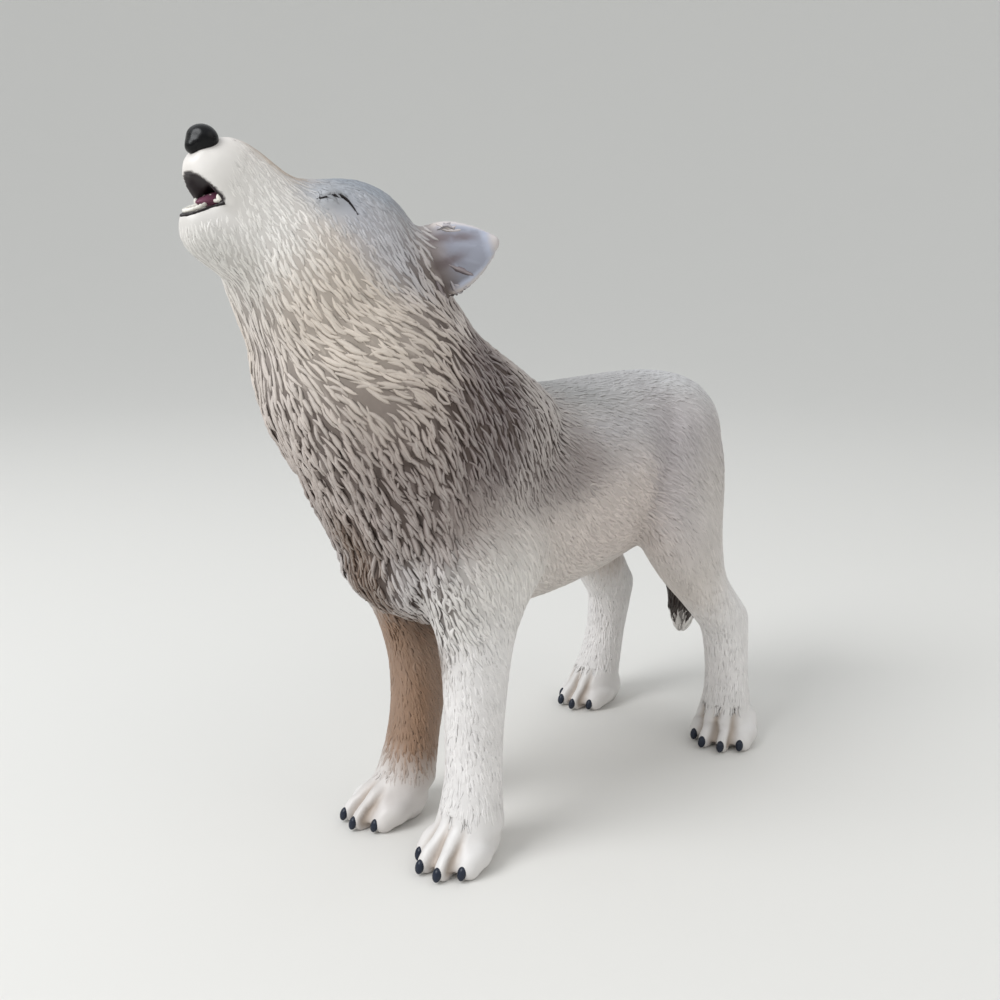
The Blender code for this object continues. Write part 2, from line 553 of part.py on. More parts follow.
def crease_share(points):
    """Return how much of each crease is filled: all of it, but little at the mouth and between toes."""
    mouth = CHIN + 0.25 * JAW_LENGTH * BACK + 0.4 * JAW_DROP * UP
    mouth_gap = np.linalg.norm(points - mouth, axis=1)
    share = np.clip((mouth_gap - 0.6 * JAW_DROP) / (0.4 * JAW_DROP), 0.08, 1.0)
    return np.minimum(share, np.clip(points[:, 2] / PAW_HEIGHT - 0.5, 0.12, 1.0))


def guide_places():
    """Return the guides as places, directions and lock sizes, mirrored to both sides."""
    places, lies, locks = [], [], []
    for frame, (side, back, up), (lie_side, lie_back, lie_up), lock in GUIDES:
        for sign in ((-1, 1) if side else (1,)):
            if frame == "head":
                place = head_point(sign * side * MM, back * MM, up * MM)
                lie = sign * lie_side * SIDE + lie_back * HEAD_AXIS + lie_up * HEAD_UP
            else:
                place = np.array([sign * side * MM, back * MM, up * MM + BODY_HEIGHT])
                lie = np.array([sign * lie_side, lie_back, lie_up])
            places.append(place)
            lies.append(lie / np.linalg.norm(lie))
            locks.append(lock)
    return np.array(places), np.array(lies), np.array(locks)


def coat_at(points, normals):
    """Return which way the hair lies at each point, and the lock's length, width and depth there."""
    places, lies, locks = guide_places()
    away = np.sum((points[:, None, :] - places[None, :, :]) ** 2, axis=2)
    nearest = away.min(axis=1, keepdims=True)
    weight = np.exp(-(away - nearest) / (2 * GUIDE_REACH ** 2)) / (away + (0.5 * GUIDE_REACH) ** 2)
    weight /= weight.sum(axis=1, keepdims=True)
    lie = weight @ lies
    lie -= np.sum(lie * normals, axis=1, keepdims=True) * normals
    lie /= np.maximum(np.linalg.norm(lie, axis=1, keepdims=True), 1e-9)
    return lie, weight @ locks


def lock_roots(points, lie, side, lock, random):
    """Pick roots so that locks lie side by side and overlap end to end, like tiles on a roof."""
    along_gap = ROOT_GAP_ALONG * lock[:, 0]
    across_gap = ROOT_GAP_ACROSS * lock[:, 1]
    cell = along_gap.max()
    order = random.permutation(len(points))
    order = order[:int(len(points) * ROOT_CANDIDATES)]
    keys = np.floor(points / cell).astype(int)
    taken = {}
    roots = []
    for index in order:
        i, j, k = keys[index]
        near = [other
                for x in (i - 1, i, i + 1)
                for y in (j - 1, j, j + 1)
                for z in (k - 1, k, k + 1)
                for other in taken.get((x, y, z), ())]
        if near:
            offset = points[near] - points[index]
            gap = (offset @ lie[index] / along_gap[index]) ** 2
            gap += (offset @ side[index] / across_gap[index]) ** 2
            if gap.min() < 1.0:
                continue
        taken.setdefault((i, j, k), []).append(index)
        roots.append(index)
    return np.array(roots)


def pairs_in_reach(points, probes, cell):
    """Return pairs (probe group, point) that share a cell; probes are (group, sample, 3)."""
    low = np.minimum(points.min(axis=0), probes.reshape(-1, 3).min(axis=0)) - cell
    size = np.ceil((np.maximum(points.max(axis=0), probes.reshape(-1, 3).max(axis=0)) - low) / cell)
    size = size.astype(np.int64) + 1

    def cell_number(where):
        index = np.floor((where - low) / cell).astype(np.int64)
        return (index[..., 0] * size[1] + index[..., 1]) * size[2] + index[..., 2]

    point_cells = cell_number(points)
    order = np.argsort(point_cells, kind="stable")
    cells, starts, counts = np.unique(point_cells[order], return_index=True, return_counts=True)
    groups = np.repeat(np.arange(len(probes)), probes.shape[1])
    combined = np.unique(groups * size.prod() + cell_number(probes).ravel())
    groups = combined // size.prod()
    wanted = combined % size.prod()
    slot = np.searchsorted(cells, wanted)
    slot[slot == len(cells)] = 0
    found = cells[slot] == wanted
    groups, slot = groups[found], slot[found]
    repeat = counts[slot]
    offsets = np.arange(repeat.sum()) - np.repeat(np.cumsum(repeat) - repeat, repeat)
    return np.repeat(groups, repeat), order[np.repeat(starts[slot], repeat) + offsets]


def carve_coat(points, triangles):
    """Return how far each point rises above the skin once the locks of hair are carved."""
    random = np.random.default_rng(SEED)
    normals = point_normals(points, triangles)
    lie, lock = coat_at(points, normals)
    roots = lock_roots(points, lie, np.cross(normals, lie), lock, random)
    lengths = lock[roots, 0] * random.uniform(0.75, 1.2, len(roots))
    widths = lock[roots, 1] * random.uniform(0.75, 1.2, len(roots))
    depths = lock[roots, 2] * random.uniform(0.8, 1.05, len(roots))
    phase = points[roots] * (2.0 * math.pi / SWIRL_LENGTH)
    drift = np.sin(phase[:, 2] + 1.7 * np.sin(phase[:, 1])) * np.cos(0.8 * phase[:, 1] + phase[:, 0])
    swirl = COAT_SWIRL * (drift + random.normal(0.0, 0.3, len(roots)))
    sway = LOCK_WAVE * random.uniform(-1.0, 1.0, len(roots))
    normal = normals[roots]
    side = np.cross(normal, lie[roots])
    along = np.cos(swirl)[:, None] * lie[roots] + np.sin(swirl)[:, None] * side
    side = np.cross(normal, along)

    finest = 0.9 * PROBE_GRAIN
    steps = np.linspace(0.03, 0.97, math.ceil(lengths.max() / finest) + 1)
    shifts = np.linspace(-0.5, 0.5, math.ceil(widths.max() / finest) + 1)
    drops = np.linspace(-0.12, 0.12, math.ceil(0.24 * lengths.max() / finest) + 1)
    probes = (points[roots][:, None, None, None, :]
              + (steps[None, :, None, None, None] * lengths[:, None, None, None, None]
                 * along[:, None, None, None, :])
              + (shifts[None, None, :, None, None] * widths[:, None, None, None, None]
                 * side[:, None, None, None, :])
              + (drops[None, None, None, :, None] * lengths[:, None, None, None, None]
                 * normal[:, None, None, None, :]))
    group, member = pairs_in_reach(points, probes.reshape(len(roots), -1, 3), PROBE_GRAIN)

    offset = points[member] - points[roots[group]]
    down = np.sum(offset * along[group], axis=1) / lengths[group]
    lateral = np.sum(offset * side[group], axis=1) / widths[group]
    lateral -= sway[group] * np.sin(2.6 * down + 6.0 * sway[group])
    lean = np.sum(normals[member] * normal[group], axis=1)
    inside = (down > 0.0) & (down < 1.0) & (lean > 0.25)
    group, member, down, lateral = group[inside], member[inside], down[inside], lateral[inside]
    taper = 0.5 * np.clip(1.25 * (1.0 - down), 0.0, 1.0) ** 0.6 * np.clip(0.45 + 2.2 * down, 0.0, 1.0)
    crown = np.clip(1.0 - (lateral / np.maximum(taper, 1e-6)) ** 2, 0.0, 1.0) ** 0.8
    ramp = np.clip(down / 0.15, 0.0, 1.0) * (0.3 + 0.7 * down)
    height = depths[group] * crown * ramp
    rise = BARE_RISE * lock[:, 2]
    np.maximum.at(rise, member, height)
    return rise, lock[:, 2], normals


def bare_share(points):
    """Return 0 where the moulding is bare, such as the nose, the mouth and the toes, and 1 in the coat."""
    nose_gap = np.linalg.norm(points - head_point(0.0, 0.0, 0.0), axis=1)
    share = np.clip((nose_gap - 5.0 * MM) / (4.0 * MM), 0.0, 1.0)
    share = np.minimum(share, np.clip((points[:, 2] - 0.8 * PAW_HEIGHT) / (0.6 * PAW_HEIGHT), 0.0, 1.0))
    for side in (-1, 1):
        eye_gap = np.linalg.norm(points - head_point(side * EYE_SIDE, EYE_BACK, EYE_UP), axis=1)
        share = np.minimum(share, np.clip((eye_gap - EYE_RADIUS) / EYE_RADIUS, 0.0, 1.0))
        ear_tip = head_point(side * (EAR_SIDE + 0.6 * EAR_LENGTH), EAR_BACK, EAR_UP + 0.55 * EAR_LENGTH)
        ear_gap = np.linalg.norm(points - ear_tip, axis=1)
        share = np.minimum(share, np.clip((ear_gap - 0.9 * EAR_LENGTH) / (0.3 * EAR_LENGTH), 0.0, 1.0))
    return share


def lid_groove(points):
    """Return the depth of the arched crease between the closed lids."""
    depth = np.zeros(len(points))
    for side in (-1, 1):
        offset = points - head_point(side * EYE_SIDE, EYE_BACK, EYE_UP)
        outside = offset[:, 0] * side > 0
        back = offset @ HEAD_AXIS / EYE_RADIUS
        up = offset @ HEAD_UP / EYE_RADIUS
        arc = up + 0.25 - 0.35 * back - 0.3 * (1.0 - back ** 2)
        line = np.exp(-(arc * EYE_RADIUS / (0.5 * LID_WIDTH)) ** 2)
        reach = np.clip((1.15 - np.abs(back)) / 0.3, 0.0, 1.0) * outside
        depth = np.maximum(depth, LID_DEPTH * line * reach)
    return depth


def carved_wolf():
    """Return the wolf's finished mesh, with its coat carved in and its origin under its middle."""
    skin = fused_skin()
    points, triangles, edges = mesh_arrays(skin)
    points = relax(points, triangles, edges, CREASE_ROUNDS, crease_share(points))
    points = relax(points, triangles, edges, SMOOTH_ROUNDS)
    rise, lock_depth, normals = carve_coat(points, triangles)
    share = bare_share(points)
    lift = share * (rise - 0.55 * lock_depth) - lid_groove(points) - toe_grooves(points)
    points = points + lift[:, None] * normals
    points = relax(points, triangles, edges, 1)
    standing = points[points[:, 2] > 0.0]
    middle = (standing.min(axis=0) + standing.max(axis=0)) / 2
    points[:, :2] -= middle[:2]
    skin.vertices.foreach_set("co", points.astype(np.float32).ravel())
    skin.update()
    return skin


def paint(name, colour, roughness):
    """Return a plain painted vinyl."""
    material = bpy.data.materials.new(name)
    material.use_nodes = True
    shader = material.node_tree.nodes["Principled BSDF"]
    shader.inputs["Base Color"].default_value = colour
    shader.inputs["Roughness"].default_value = roughness
    shader.inputs["Metallic"].default_value = 0.0
    return material


def sole_cutter(collection, reach):
    """Return the box below the ground that cuts the soles flat."""
    block = bmesh.new()
    bmesh.ops.create_cube(block, size=2.0)
    for vert in block.verts:
        vert.co = (vert.co.x * reach, vert.co.y * reach, (vert.co.z - 1.0) * PAW_HEIGHT)
    mesh = bpy.data.meshes.new("sole_cutter")
    block.to_mesh(mesh)
    block.free()
    cutter = bpy.data.objects.new("sole_cutter", mesh)
    cutter.hide_render = True
    cutter.display_type = "WIRE"
    collection.objects.link(cutter)
    return cutter


def main():
    for obj in list(bpy.data.objects):
        bpy.data.objects.remove(obj)
    figurine = bpy.data.collections.new("wolf_figurine")
    cutters = bpy.data.collections.new("cutters")
    bpy.context.scene.collection.children.link(figurine)
    bpy.context.scene.collection.children.link(cutters)

    mesh = carved_wolf()
    mesh.name = "wolf_figure"
    mesh.materials.append(paint("painted_vinyl", FUR_COLOUR, FUR_ROUGHNESS))
    mesh.shade_smooth()
    wolf = bpy.data.objects.new("wolf_figure", mesh)
    figurine.objects.link(wolf)

    thin = wolf.modifiers.new("fewer_faces", "DECIMATE")
    thin.ratio = FACE_LIMIT / (2 * len(mesh.polygons))
    cut = wolf.modifiers.new("flat_soles", "BOOLEAN")
    cut.operation = "DIFFERENCE"
    cut.object = sole_cutter(cutters, TRUNK_LENGTH + NOSE_REACH)


main()
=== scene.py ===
# Howling wolf figurine: the painted vinyl moulding with its fine carved coat, on a pale studio floor.
import json
import math

import bmesh
import bpy
import numpy as np
from mathutils import Matrix, Vector, kdtree
from mathutils.bvhtree import BVHTree


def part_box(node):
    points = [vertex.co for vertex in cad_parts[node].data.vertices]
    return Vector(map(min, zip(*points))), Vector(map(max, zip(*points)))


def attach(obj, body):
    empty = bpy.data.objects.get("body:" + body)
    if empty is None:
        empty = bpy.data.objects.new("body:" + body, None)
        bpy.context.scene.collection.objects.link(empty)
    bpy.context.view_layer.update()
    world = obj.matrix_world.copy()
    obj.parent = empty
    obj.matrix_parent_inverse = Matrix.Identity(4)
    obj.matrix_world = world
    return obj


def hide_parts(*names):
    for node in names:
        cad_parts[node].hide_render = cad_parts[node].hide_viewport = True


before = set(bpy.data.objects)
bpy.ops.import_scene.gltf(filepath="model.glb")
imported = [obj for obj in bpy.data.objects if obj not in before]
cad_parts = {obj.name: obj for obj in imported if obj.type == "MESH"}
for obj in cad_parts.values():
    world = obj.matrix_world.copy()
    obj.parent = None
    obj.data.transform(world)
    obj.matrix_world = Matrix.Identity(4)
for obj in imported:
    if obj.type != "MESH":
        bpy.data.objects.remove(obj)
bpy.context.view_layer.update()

mm = 0.001
side = np.array([1.0, 0.0, 0.0])
back = np.array([0.0, 1.0, 0.0])
up = np.array([0.0, 0.0, 1.0])


def report(stage):
    print("stage:", stage, flush=True)


# The wolf's form
wolf = {
    "bodyHeight": 44.0 * mm,
    "trunkLength": 73.3 * mm,
    "chestHalfWidth": 12.2 * mm,
    "stanceLength": 53.8 * mm,
    "foreHalfTrack": 7.8 * mm,
    "hindHalfTrack": 12.9 * mm,
    "rightForeStep": 1.0 * mm,
    "rightForeBend": 3.6 * mm,
    "rightForeTuck": 0.8 * mm,
    "rightHindStep": -2.3 * mm,
    "rightHindBend": 3.4 * mm,
    "rightHindTuck": 1.0 * mm,
    "neckHeight": 32.0 * mm,
    "neckHalfWidth": 13.3 * mm,
    "headPitch": 43.0,
    "headLength": 32.5 * mm,
    "headHalfWidth": 9.6 * mm,
    "noseReach": 56.5 * mm,
    "noseRise": 6.3 * mm,
    "nosePadHalfWidth": 1.95 * mm,
    "jawLength": 14.0 * mm,
    "jawHalfWidth": 7.8 * mm,
    "jawDrop": 6.7 * mm,
    "mouthHalfWidth": 2.9 * mm,
    "mouthDepth": 4.8 * mm,
    "eyeBack": 12.2 * mm,
    "eyeUp": 5.7 * mm,
    "eyeSide": 5.6 * mm,
    "eyeRadius": 2.1 * mm,
    "earBack": 23.8 * mm,
    "earUp": 9.4 * mm,
    "earSide": 8.2 * mm,
    "earLength": 7.5 * mm,
    "earRoot": 2.5 * mm,
    "earHalfHeight": 4.3 * mm,
    "earThickness": 1.0 * mm,
    "earCup": 1.7 * mm,
    "tailLength": 40.7 * mm,
    "tailHalfWidth": 3.6 * mm,
    "tailRootUp": 10.0 * mm,
    "pawHalfWidth": 4.2 * mm,
    "pawHeight": 6.5 * mm,
    "toeRadius": 1.5 * mm,
    "toeReach": 5.3 * mm,
    "toeGapWidth": 0.5 * mm,
    "toeGapDepth": 0.6 * mm,
    "clawRadius": 0.7 * mm,
    "roughGrain": 0.42 * mm,
    "fineGrain": 0.235 * mm,
    "mouthGrain": 0.2 * mm,
    "faceLimit": 196000,
    "seed": 11,
}
pitch = math.radians(wolf["headPitch"])
headAxis = np.array([0.0, math.cos(pitch), -math.sin(pitch)])
headUp = np.array([0.0, math.sin(pitch), math.cos(pitch)])
nose = np.array([0.0, -wolf["noseReach"], wolf["bodyHeight"] + wolf["neckHeight"] + wolf["noseRise"]])
chin = nose + np.array([0.0, -0.9 * mm, -wolf["jawDrop"]])
trunkFront = np.array([0.0, -wolf["trunkLength"] * 0.505, wolf["bodyHeight"]])
trunkEnd = trunkFront + wolf["trunkLength"] * back
forePawY = -wolf["stanceLength"] * 0.52
mouthCorner = chin + wolf["jawDrop"] * (0.46 * back + 0.36 * up)
upperLip = chin + wolf["jawDrop"] * (0.08 * back + 0.75 * up)
lowerLip = chin + wolf["jawDrop"] * (-0.02 * back + 0.165 * up)
mouthAlong = (mouthCorner - lowerLip) / np.linalg.norm(mouthCorner - lowerLip)
mouthRise = np.cross(side, mouthAlong)
throatMiddle = mouthCorner + 0.16 * wolf["mouthDepth"] * back + 0.07 * wolf["mouthDepth"] * up
throatRadii = (0.72 * wolf["mouthHalfWidth"], 0.5 * wolf["mouthDepth"], 0.25 * wolf["mouthDepth"])
palateAlong = (mouthCorner - upperLip) / np.linalg.norm(mouthCorner - upperLip)
palateRise = np.cross(side, palateAlong)
palateMiddle = 0.5 * (mouthCorner + upperLip) + 0.05 * wolf["jawDrop"] * palateAlong
palateRadii = (0.6 * wolf["mouthHalfWidth"], 0.25 * wolf["jawDrop"], 0.15 * wolf["jawDrop"])
hindPawY = forePawY + wolf["stanceLength"]

# Share of the length, top and bottom from the middle line in mm, share of the half width
trunkSections = [
    (0.0, 3.0, -8.0, 0.33), (0.034, 6.5, -11.5, 0.66), (0.095, 10.0, -13.6, 0.85),
    (0.164, 12.5, -14.4, 0.97), (0.26, 13.3, -15.0, 1.0), (0.37, 13.6, -15.2, 0.99),
    (0.48, 13.7, -14.6, 0.96), (0.587, 14.0, -13.4, 0.9), (0.7, 14.3, -11.7, 0.845),
    (0.79, 14.1, -10.5, 0.82), (0.873, 13.0, -9.3, 0.72), (0.935, 10.8, -6.3, 0.51),
    (0.982, 7.2, -2.4, 0.31), (1.0, 4.6, 0.5, 0.15)]
neckSections = [
    (0.94, 46.2, 30.0, 0.56), (0.84, 48.0, 27.0, 0.69), (0.75, 49.2, 24.7, 0.77),
    (0.625, 49.1, 21.0, 0.86), (0.5, 48.6, 14.0, 0.925), (0.375, 47.5, 8.5, 0.98),
    (0.25, 45.2, 7.5, 1.0), (0.125, 42.4, 9.5, 0.99), (0.0, 40.2, 12.5, 0.955),
    (-0.125, 37.9, 15.5, 0.89), (-0.25, 35.4, 19.0, 0.775), (-0.36, 32.6, 22.0, 0.6),
    (-0.44, 30.0, 25.0, 0.38)]
headSections = [
    (0.01, 1.6, -0.9, 0.13), (0.028, 2.9, -1.35, 0.19), (0.05, 4.2, -2.1, 0.26), (0.092, 5.1, -2.8, 0.32),
    (0.154, 5.75, -3.3, 0.365), (0.222, 6.1, -4.0, 0.44), (0.283, 6.8, -4.9, 0.54),
    (0.354, 9.1, -5.8, 0.7), (0.43, 11.8, -6.8, 0.84), (0.523, 13.5, -8.2, 0.94),
    (0.63, 13.8, -9.6, 0.99), (0.74, 13.1, -9.0, 1.0), (0.86, 10.5, -7.0, 0.9),
    (0.954, 6.0, -2.0, 0.68), (1.0, 3.5, 1.0, 0.36)]
jawSections = [
    (0.0, 1.2, -1.2, 0.13), (0.05, 1.7, -2.2, 0.25), (0.143, 1.9, -3.2, 0.36),
    (0.286, 2.1, -4.4, 0.45), (0.464, 2.3, -5.9, 0.57), (0.714, 2.2, -7.6, 0.76),
    (1.0, 1.0, -9.6, 1.0)]
# Share of the body's height, front and back from the paw's middle, shift outwards, half width
foreLegSections = [
    (1.136, 1.0, -8.0, -0.8, 2.5), (1.045, 4.5, -11.0, 0.1, 4.4), (0.932, 6.5, -13.0, 0.7, 5.2),
    (0.83, 6.2, -12.0, 0.8, 5.2), (0.727, 4.4, -8.8, 0.5, 4.6), (0.636, 2.9, -7.0, 0.2, 4.15),
    (0.5, 2.0, -6.1, -0.1, 3.8), (0.364, 1.6, -5.6, -0.3, 3.6), (0.25, 1.6, -5.3, -0.3, 3.6),
    (0.159, 2.4, -5.2, -0.2, 3.9), (0.091, 3.6, -5.2, 0.0, 4.3)]
hindLegSections = [
    (1.25, 11.8, 2.8, -7.4, 2.0), (1.16, 15.3, 0.0, -6.2, 4.1), (1.045, 17.6, -1.2, -5.6, 5.1),
    (0.932, 19.2, -0.1, -4.6, 5.3), (0.818, 19.6, 2.5, -3.1, 5.1), (0.727, 17.8, 3.5, -2.1, 4.6),
    (0.636, 14.8, 3.2, -1.4, 4.1), (0.557, 11.4, 0.6, -0.8, 3.7), (0.477, 8.0, -2.6, -0.4, 3.4),
    (0.409, 5.6, -2.8, -0.2, 3.2), (0.273, 4.2, -2.5, 0.0, 3.2), (0.17, 4.4, -3.0, 0.1, 3.5),
    (0.091, 5.8, -3.2, 0.1, 4.0)]
tailSections = [
    (0.0, -9.0, -4.8, 0.55), (0.098, -6.6, -0.6, 0.8), (0.197, -5.4, 0.7, 0.86), (0.32, -5.0, 1.4, 0.92),
    (0.467, -5.7, 1.0, 1.0), (0.614, -6.6, 0.3, 0.97), (0.737, -7.0, -0.7, 0.88), (0.86, -6.8, -1.6, 0.7),
    (0.946, -6.1, -2.4, 0.48), (1.0, -5.3, -3.3, 0.2)]
toes = [(-0.84, 0.6), (-0.34, 1.0), (0.34, 1.0), (0.84, 0.6)]
toeGaps = [-0.62, 0.0, 0.62]
paws = [  # sideways, back, turn in degrees, slimness
    (wolf["foreHalfTrack"], forePawY, 4.0, 1.0),
    (wolf["rightForeTuck"] - wolf["foreHalfTrack"], forePawY + wolf["rightForeStep"], -14.0, 1.0),
    (1.03 * wolf["hindHalfTrack"], hindPawY, 8.0, 1.07),
    (wolf["rightHindTuck"] - wolf["hindHalfTrack"], hindPawY + wolf["rightHindStep"], -8.0, 0.95)]

# Carved locks, then the fine strokes over them: length, width and height in mm, and last how much
# the strokes' grooves are darkened with wash and painted shade and their ridges paled with dry-brush and
# painted highlight
coat = {
    "mane": (6.0, 2.2, 0.34, 3.3, 0.82, 0.28, 1.0),
    "cape": (5.0, 1.7, 0.26, 3.2, 0.64, 0.21, 1.0),
    "throat": (6.4, 2.2, 0.26, 3.8, 0.74, 0.14, 0.6),
    "cheek": (3.2, 1.4, 0.12, 2.2, 0.48, 0.08, 0.33),
    "crown": (2.6, 1.2, 0.05, 1.6, 0.44, 0.05, 0.25),
    "flank": (3.6, 1.5, 0.08, 2.4, 0.54, 0.06, 0.17),
    "leg": (3.0, 1.4, 0.03, 2.2, 0.54, 0.03, 0.03),
    "tail": (5.0, 1.6, 0.3, 3.0, 0.7, 0.14, 0.25),
    "muzzle": (2.0, 1.0, 0.02, 1.4, 0.4, 0.025, 0.12),
    "ear": (3.2, 1.2, 0.05, 3.2, 0.6, 0.1, 0.3),
    "clumpLength": 10.0 * mm,
    "clumpWidth": 3.6 * mm,
    "clumpDepth": 0.6 * mm,
    "guideReach": 4.5 * mm,
    "wave": 0.35,
    "bareRise": 0.3,
    "swirl": 0.4,
    "swirlLength": 8.0 * mm,
}
carving = {
    "creaseRounds": 22,
    "smoothRounds": 7,
    "blurRounds": 14,
    "clumpCandidates": 0.03,
    "lockCandidates": 0.3,
    "clumpCell": 1.2 * mm,
    "lockCell": 0.8 * mm,
    "settle": 0.55,
    "earRimRise": 0.16 * mm,
    "lidDepth": 0.3 * mm,
    "lidHalfWidth": 0.25 * mm,
    "hollowRange": 0.1 * mm,
    "pointsAtOnce": 40000,
}
# Where (frame, sideways, back, up in mm), which way the hair lies, and which lock
guides = [
    ("head", (0.0, 4.0, 4.5), (0.0, 1.0, -0.3), "muzzle"),
    ("head", (3.4, 6.0, -1.0), (0.1, 1.0, -0.3), "muzzle"),
    ("head", (3.2, 3.0, -7.5), (0.2, 1.0, -0.5), "muzzle"),
    ("head", (4.5, 9.0, 1.0), (0.2, 1.0, -0.4), "crown"),
    ("head", (3.0, 13.0, 10.0), (0.2, 1.0, -0.5), "crown"),
    ("head", (6.5, 13.5, 4.5), (0.3, 1.0, -0.5), "crown"),
    ("head", (3.0, 22.0, 12.5), (0.2, 1.0, -0.5), "crown"),
    ("head", (7.0, 12.0, -1.0), (0.3, 1.0, -0.5), "cheek"),
    ("head", (8.0, 17.0, -3.0), (0.3, 1.0, -0.15), "cheek"),
    ("head", (9.0, 22.0, 0.0), (0.2, 1.0, 0.3), "cheek"),
    ("head", (4.5, 10.0, -8.0), (0.1, 1.0, -0.7), "cheek"),
    ("head", (7.0, 26.0, 7.0), (0.2, 1.0, -0.6), "cape"),
    ("head", (12.0, 24.5, 12.0), (1.0, 0.35, 0.6), "ear"),
    ("head", (15.0, 25.0, 14.0), (1.0, 0.35, 0.6), "ear"),
    ("body", (0.0, -50.0, 22.0), (0.0, 0.1, -1.0), "throat"),
    ("body", (7.0, -45.0, 24.0), (0.1, 0.8, -0.6), "throat"),
    ("body", (6.0, -46.5, 20.0), (0.1, 1.0, -0.15), "throat"),
    ("body", (8.5, -44.0, 17.5), (0.1, 1.0, 0.05), "throat"),
    ("body", (10.0, -38.0, 22.0), (0.1, 1.0, -0.3), "throat"),
    ("body", (8.0, -44.0, 13.0), (0.1, 0.7, -0.7), "throat"),
    ("body", (4.0, -46.0, 11.0), (0.0, 0.35, -1.0), "mane"),
    ("body", (12.0, -32.0, 22.0), (0.1, 0.55, -0.9), "cape"),
    ("body", (12.5, -33.0, 14.0), (0.0, 0.5, -1.0), "cape"),
    ("body", (12.0, -37.0, 6.0), (0.0, 0.45, -1.0), "mane"),
    ("body", (12.0, -28.0, 12.0), (0.0, 0.35, -1.0), "cape"),
    ("body", (12.0, -29.0, 1.0), (0.0, 0.7, -0.9), "flank"),
    ("body", (11.5, -24.0, 19.0), (0.1, 0.8, -0.6), "cape"),
    ("body", (6.0, -20.0, 20.0), (0.2, 0.9, -0.6), "cape"),
    ("body", (0.0, -18.0, 21.0), (0.0, 1.0, -0.5), "cape"),
    ("body", (12.0, -18.0, 11.0), (0.1, 0.6, -0.9), "cape"),
    ("body", (12.5, -22.0, 7.0), (0.0, 0.3, -1.0), "cape"),
    ("body", (12.0, -20.0, 0.0), (0.0, 0.7, -0.9), "flank"),
    ("body", (0.0, -43.0, 2.0), (0.0, 0.3, -1.0), "mane"),
    ("body", (7.0, -40.0, -1.0), (0.0, 0.6, -0.9), "mane"),
    ("body", (0.0, -36.0, -10.0), (0.0, 0.5, -1.0), "cape"),
    ("body", (6.0, -34.0, -9.0), (0.0, 0.8, -0.8), "cape"),
    ("body", (12.5, -26.0, -8.0), (0.0, 0.45, -0.9), "flank"),
    ("body", (12.5, -14.0, -1.0), (0.0, 0.9, -0.7), "flank"),
    ("body", (0.0, -8.0, 14.0), (0.0, 1.0, -0.1), "flank"),
    ("body", (0.0, 14.0, 14.5), (0.0, 1.0, -0.05), "flank"),
    ("body", (11.0, -8.0, 5.0), (0.0, 1.0, -0.45), "flank"),
    ("body", (10.5, 8.0, -2.0), (0.0, 1.0, -0.55), "flank"),
    ("body", (5.0, 0.0, -14.0), (0.0, 1.0, -0.2), "flank"),
    ("body", (5.0, -20.0, -14.5), (0.0, 0.9, -0.6), "flank"),
    ("body", (7.0, 26.0, 10.0), (0.1, 0.8, -0.8), "flank"),
    ("body", (12.0, 16.0, 2.0), (0.0, 0.6, -1.0), "flank"),
    ("body", (13.0, 14.0, -9.0), (0.0, 0.55, -1.0), "leg"),
    ("body", (9.0, -26.0, -17.0), (0.0, 0.5, -0.9), "leg"),
    ("body", (8.0, -26.0, -28.0), (0.0, 0.4, -1.0), "leg"),
    ("body", (8.0, -26.0, -37.0), (0.0, 0.1, -1.0), "leg"),
    ("body", (12.5, 24.0, -22.0), (0.0, 0.3, -1.0), "leg"),
    ("body", (13.0, 25.0, -35.0), (0.0, 0.0, -1.0), "leg"),
    ("body", (0.0, 37.0, -2.0), (0.0, 0.1, -1.0), "tail"),
    ("body", (0.0, 35.0, -20.0), (0.0, -0.1, -1.0), "tail")]


def unit(value):
    return np.clip(value, 0.0, 1.0)


def dots(first, second):
    return np.sum(first * second, axis=1)


def lengths(vectors):
    return np.linalg.norm(vectors, axis=1)


def turns(count):
    return np.linspace(0.0, 2.0 * math.pi, count, endpoint=False)


def placed(name, data):
    obj = bpy.data.objects.new(name, data)
    bpy.context.scene.collection.objects.link(obj)
    return obj


# Joins rings of points into a closed skin whose faces look outwards
def closeRings(shape, rings):
    faces = []
    count = len(rings[0])
    for ring, following in zip(rings, rings[1:]):
        for j in range(count):
            k = (j + 1) % count
            faces.append(shape.faces.new((ring[j], ring[k], following[k], following[j])))
    faces.append(shape.faces.new(list(reversed(rings[0]))))
    faces.append(shape.faces.new(rings[-1]))
    bmesh.ops.recalc_face_normals(shape, faces=faces)


def smoothRows(rows, stationsPerGap):
    rows = np.asarray(rows, dtype=float)
    padded = np.vstack([2 * rows[0] - rows[1], rows, 2 * rows[-1] - rows[-2]])
    out = []
    for i, count in enumerate(stationsPerGap):
        before, start, end, after = padded[i:i + 4]
        for k in range(count):
            t = k / count
            out.append(0.5 * (2 * start + (end - before) * t
                              + (2 * before - 5 * start + 4 * end - after) * t ** 2
                              + (3 * start - before - 3 * end + after) * t ** 3))
    out.append(rows[-1])
    return np.array(out)


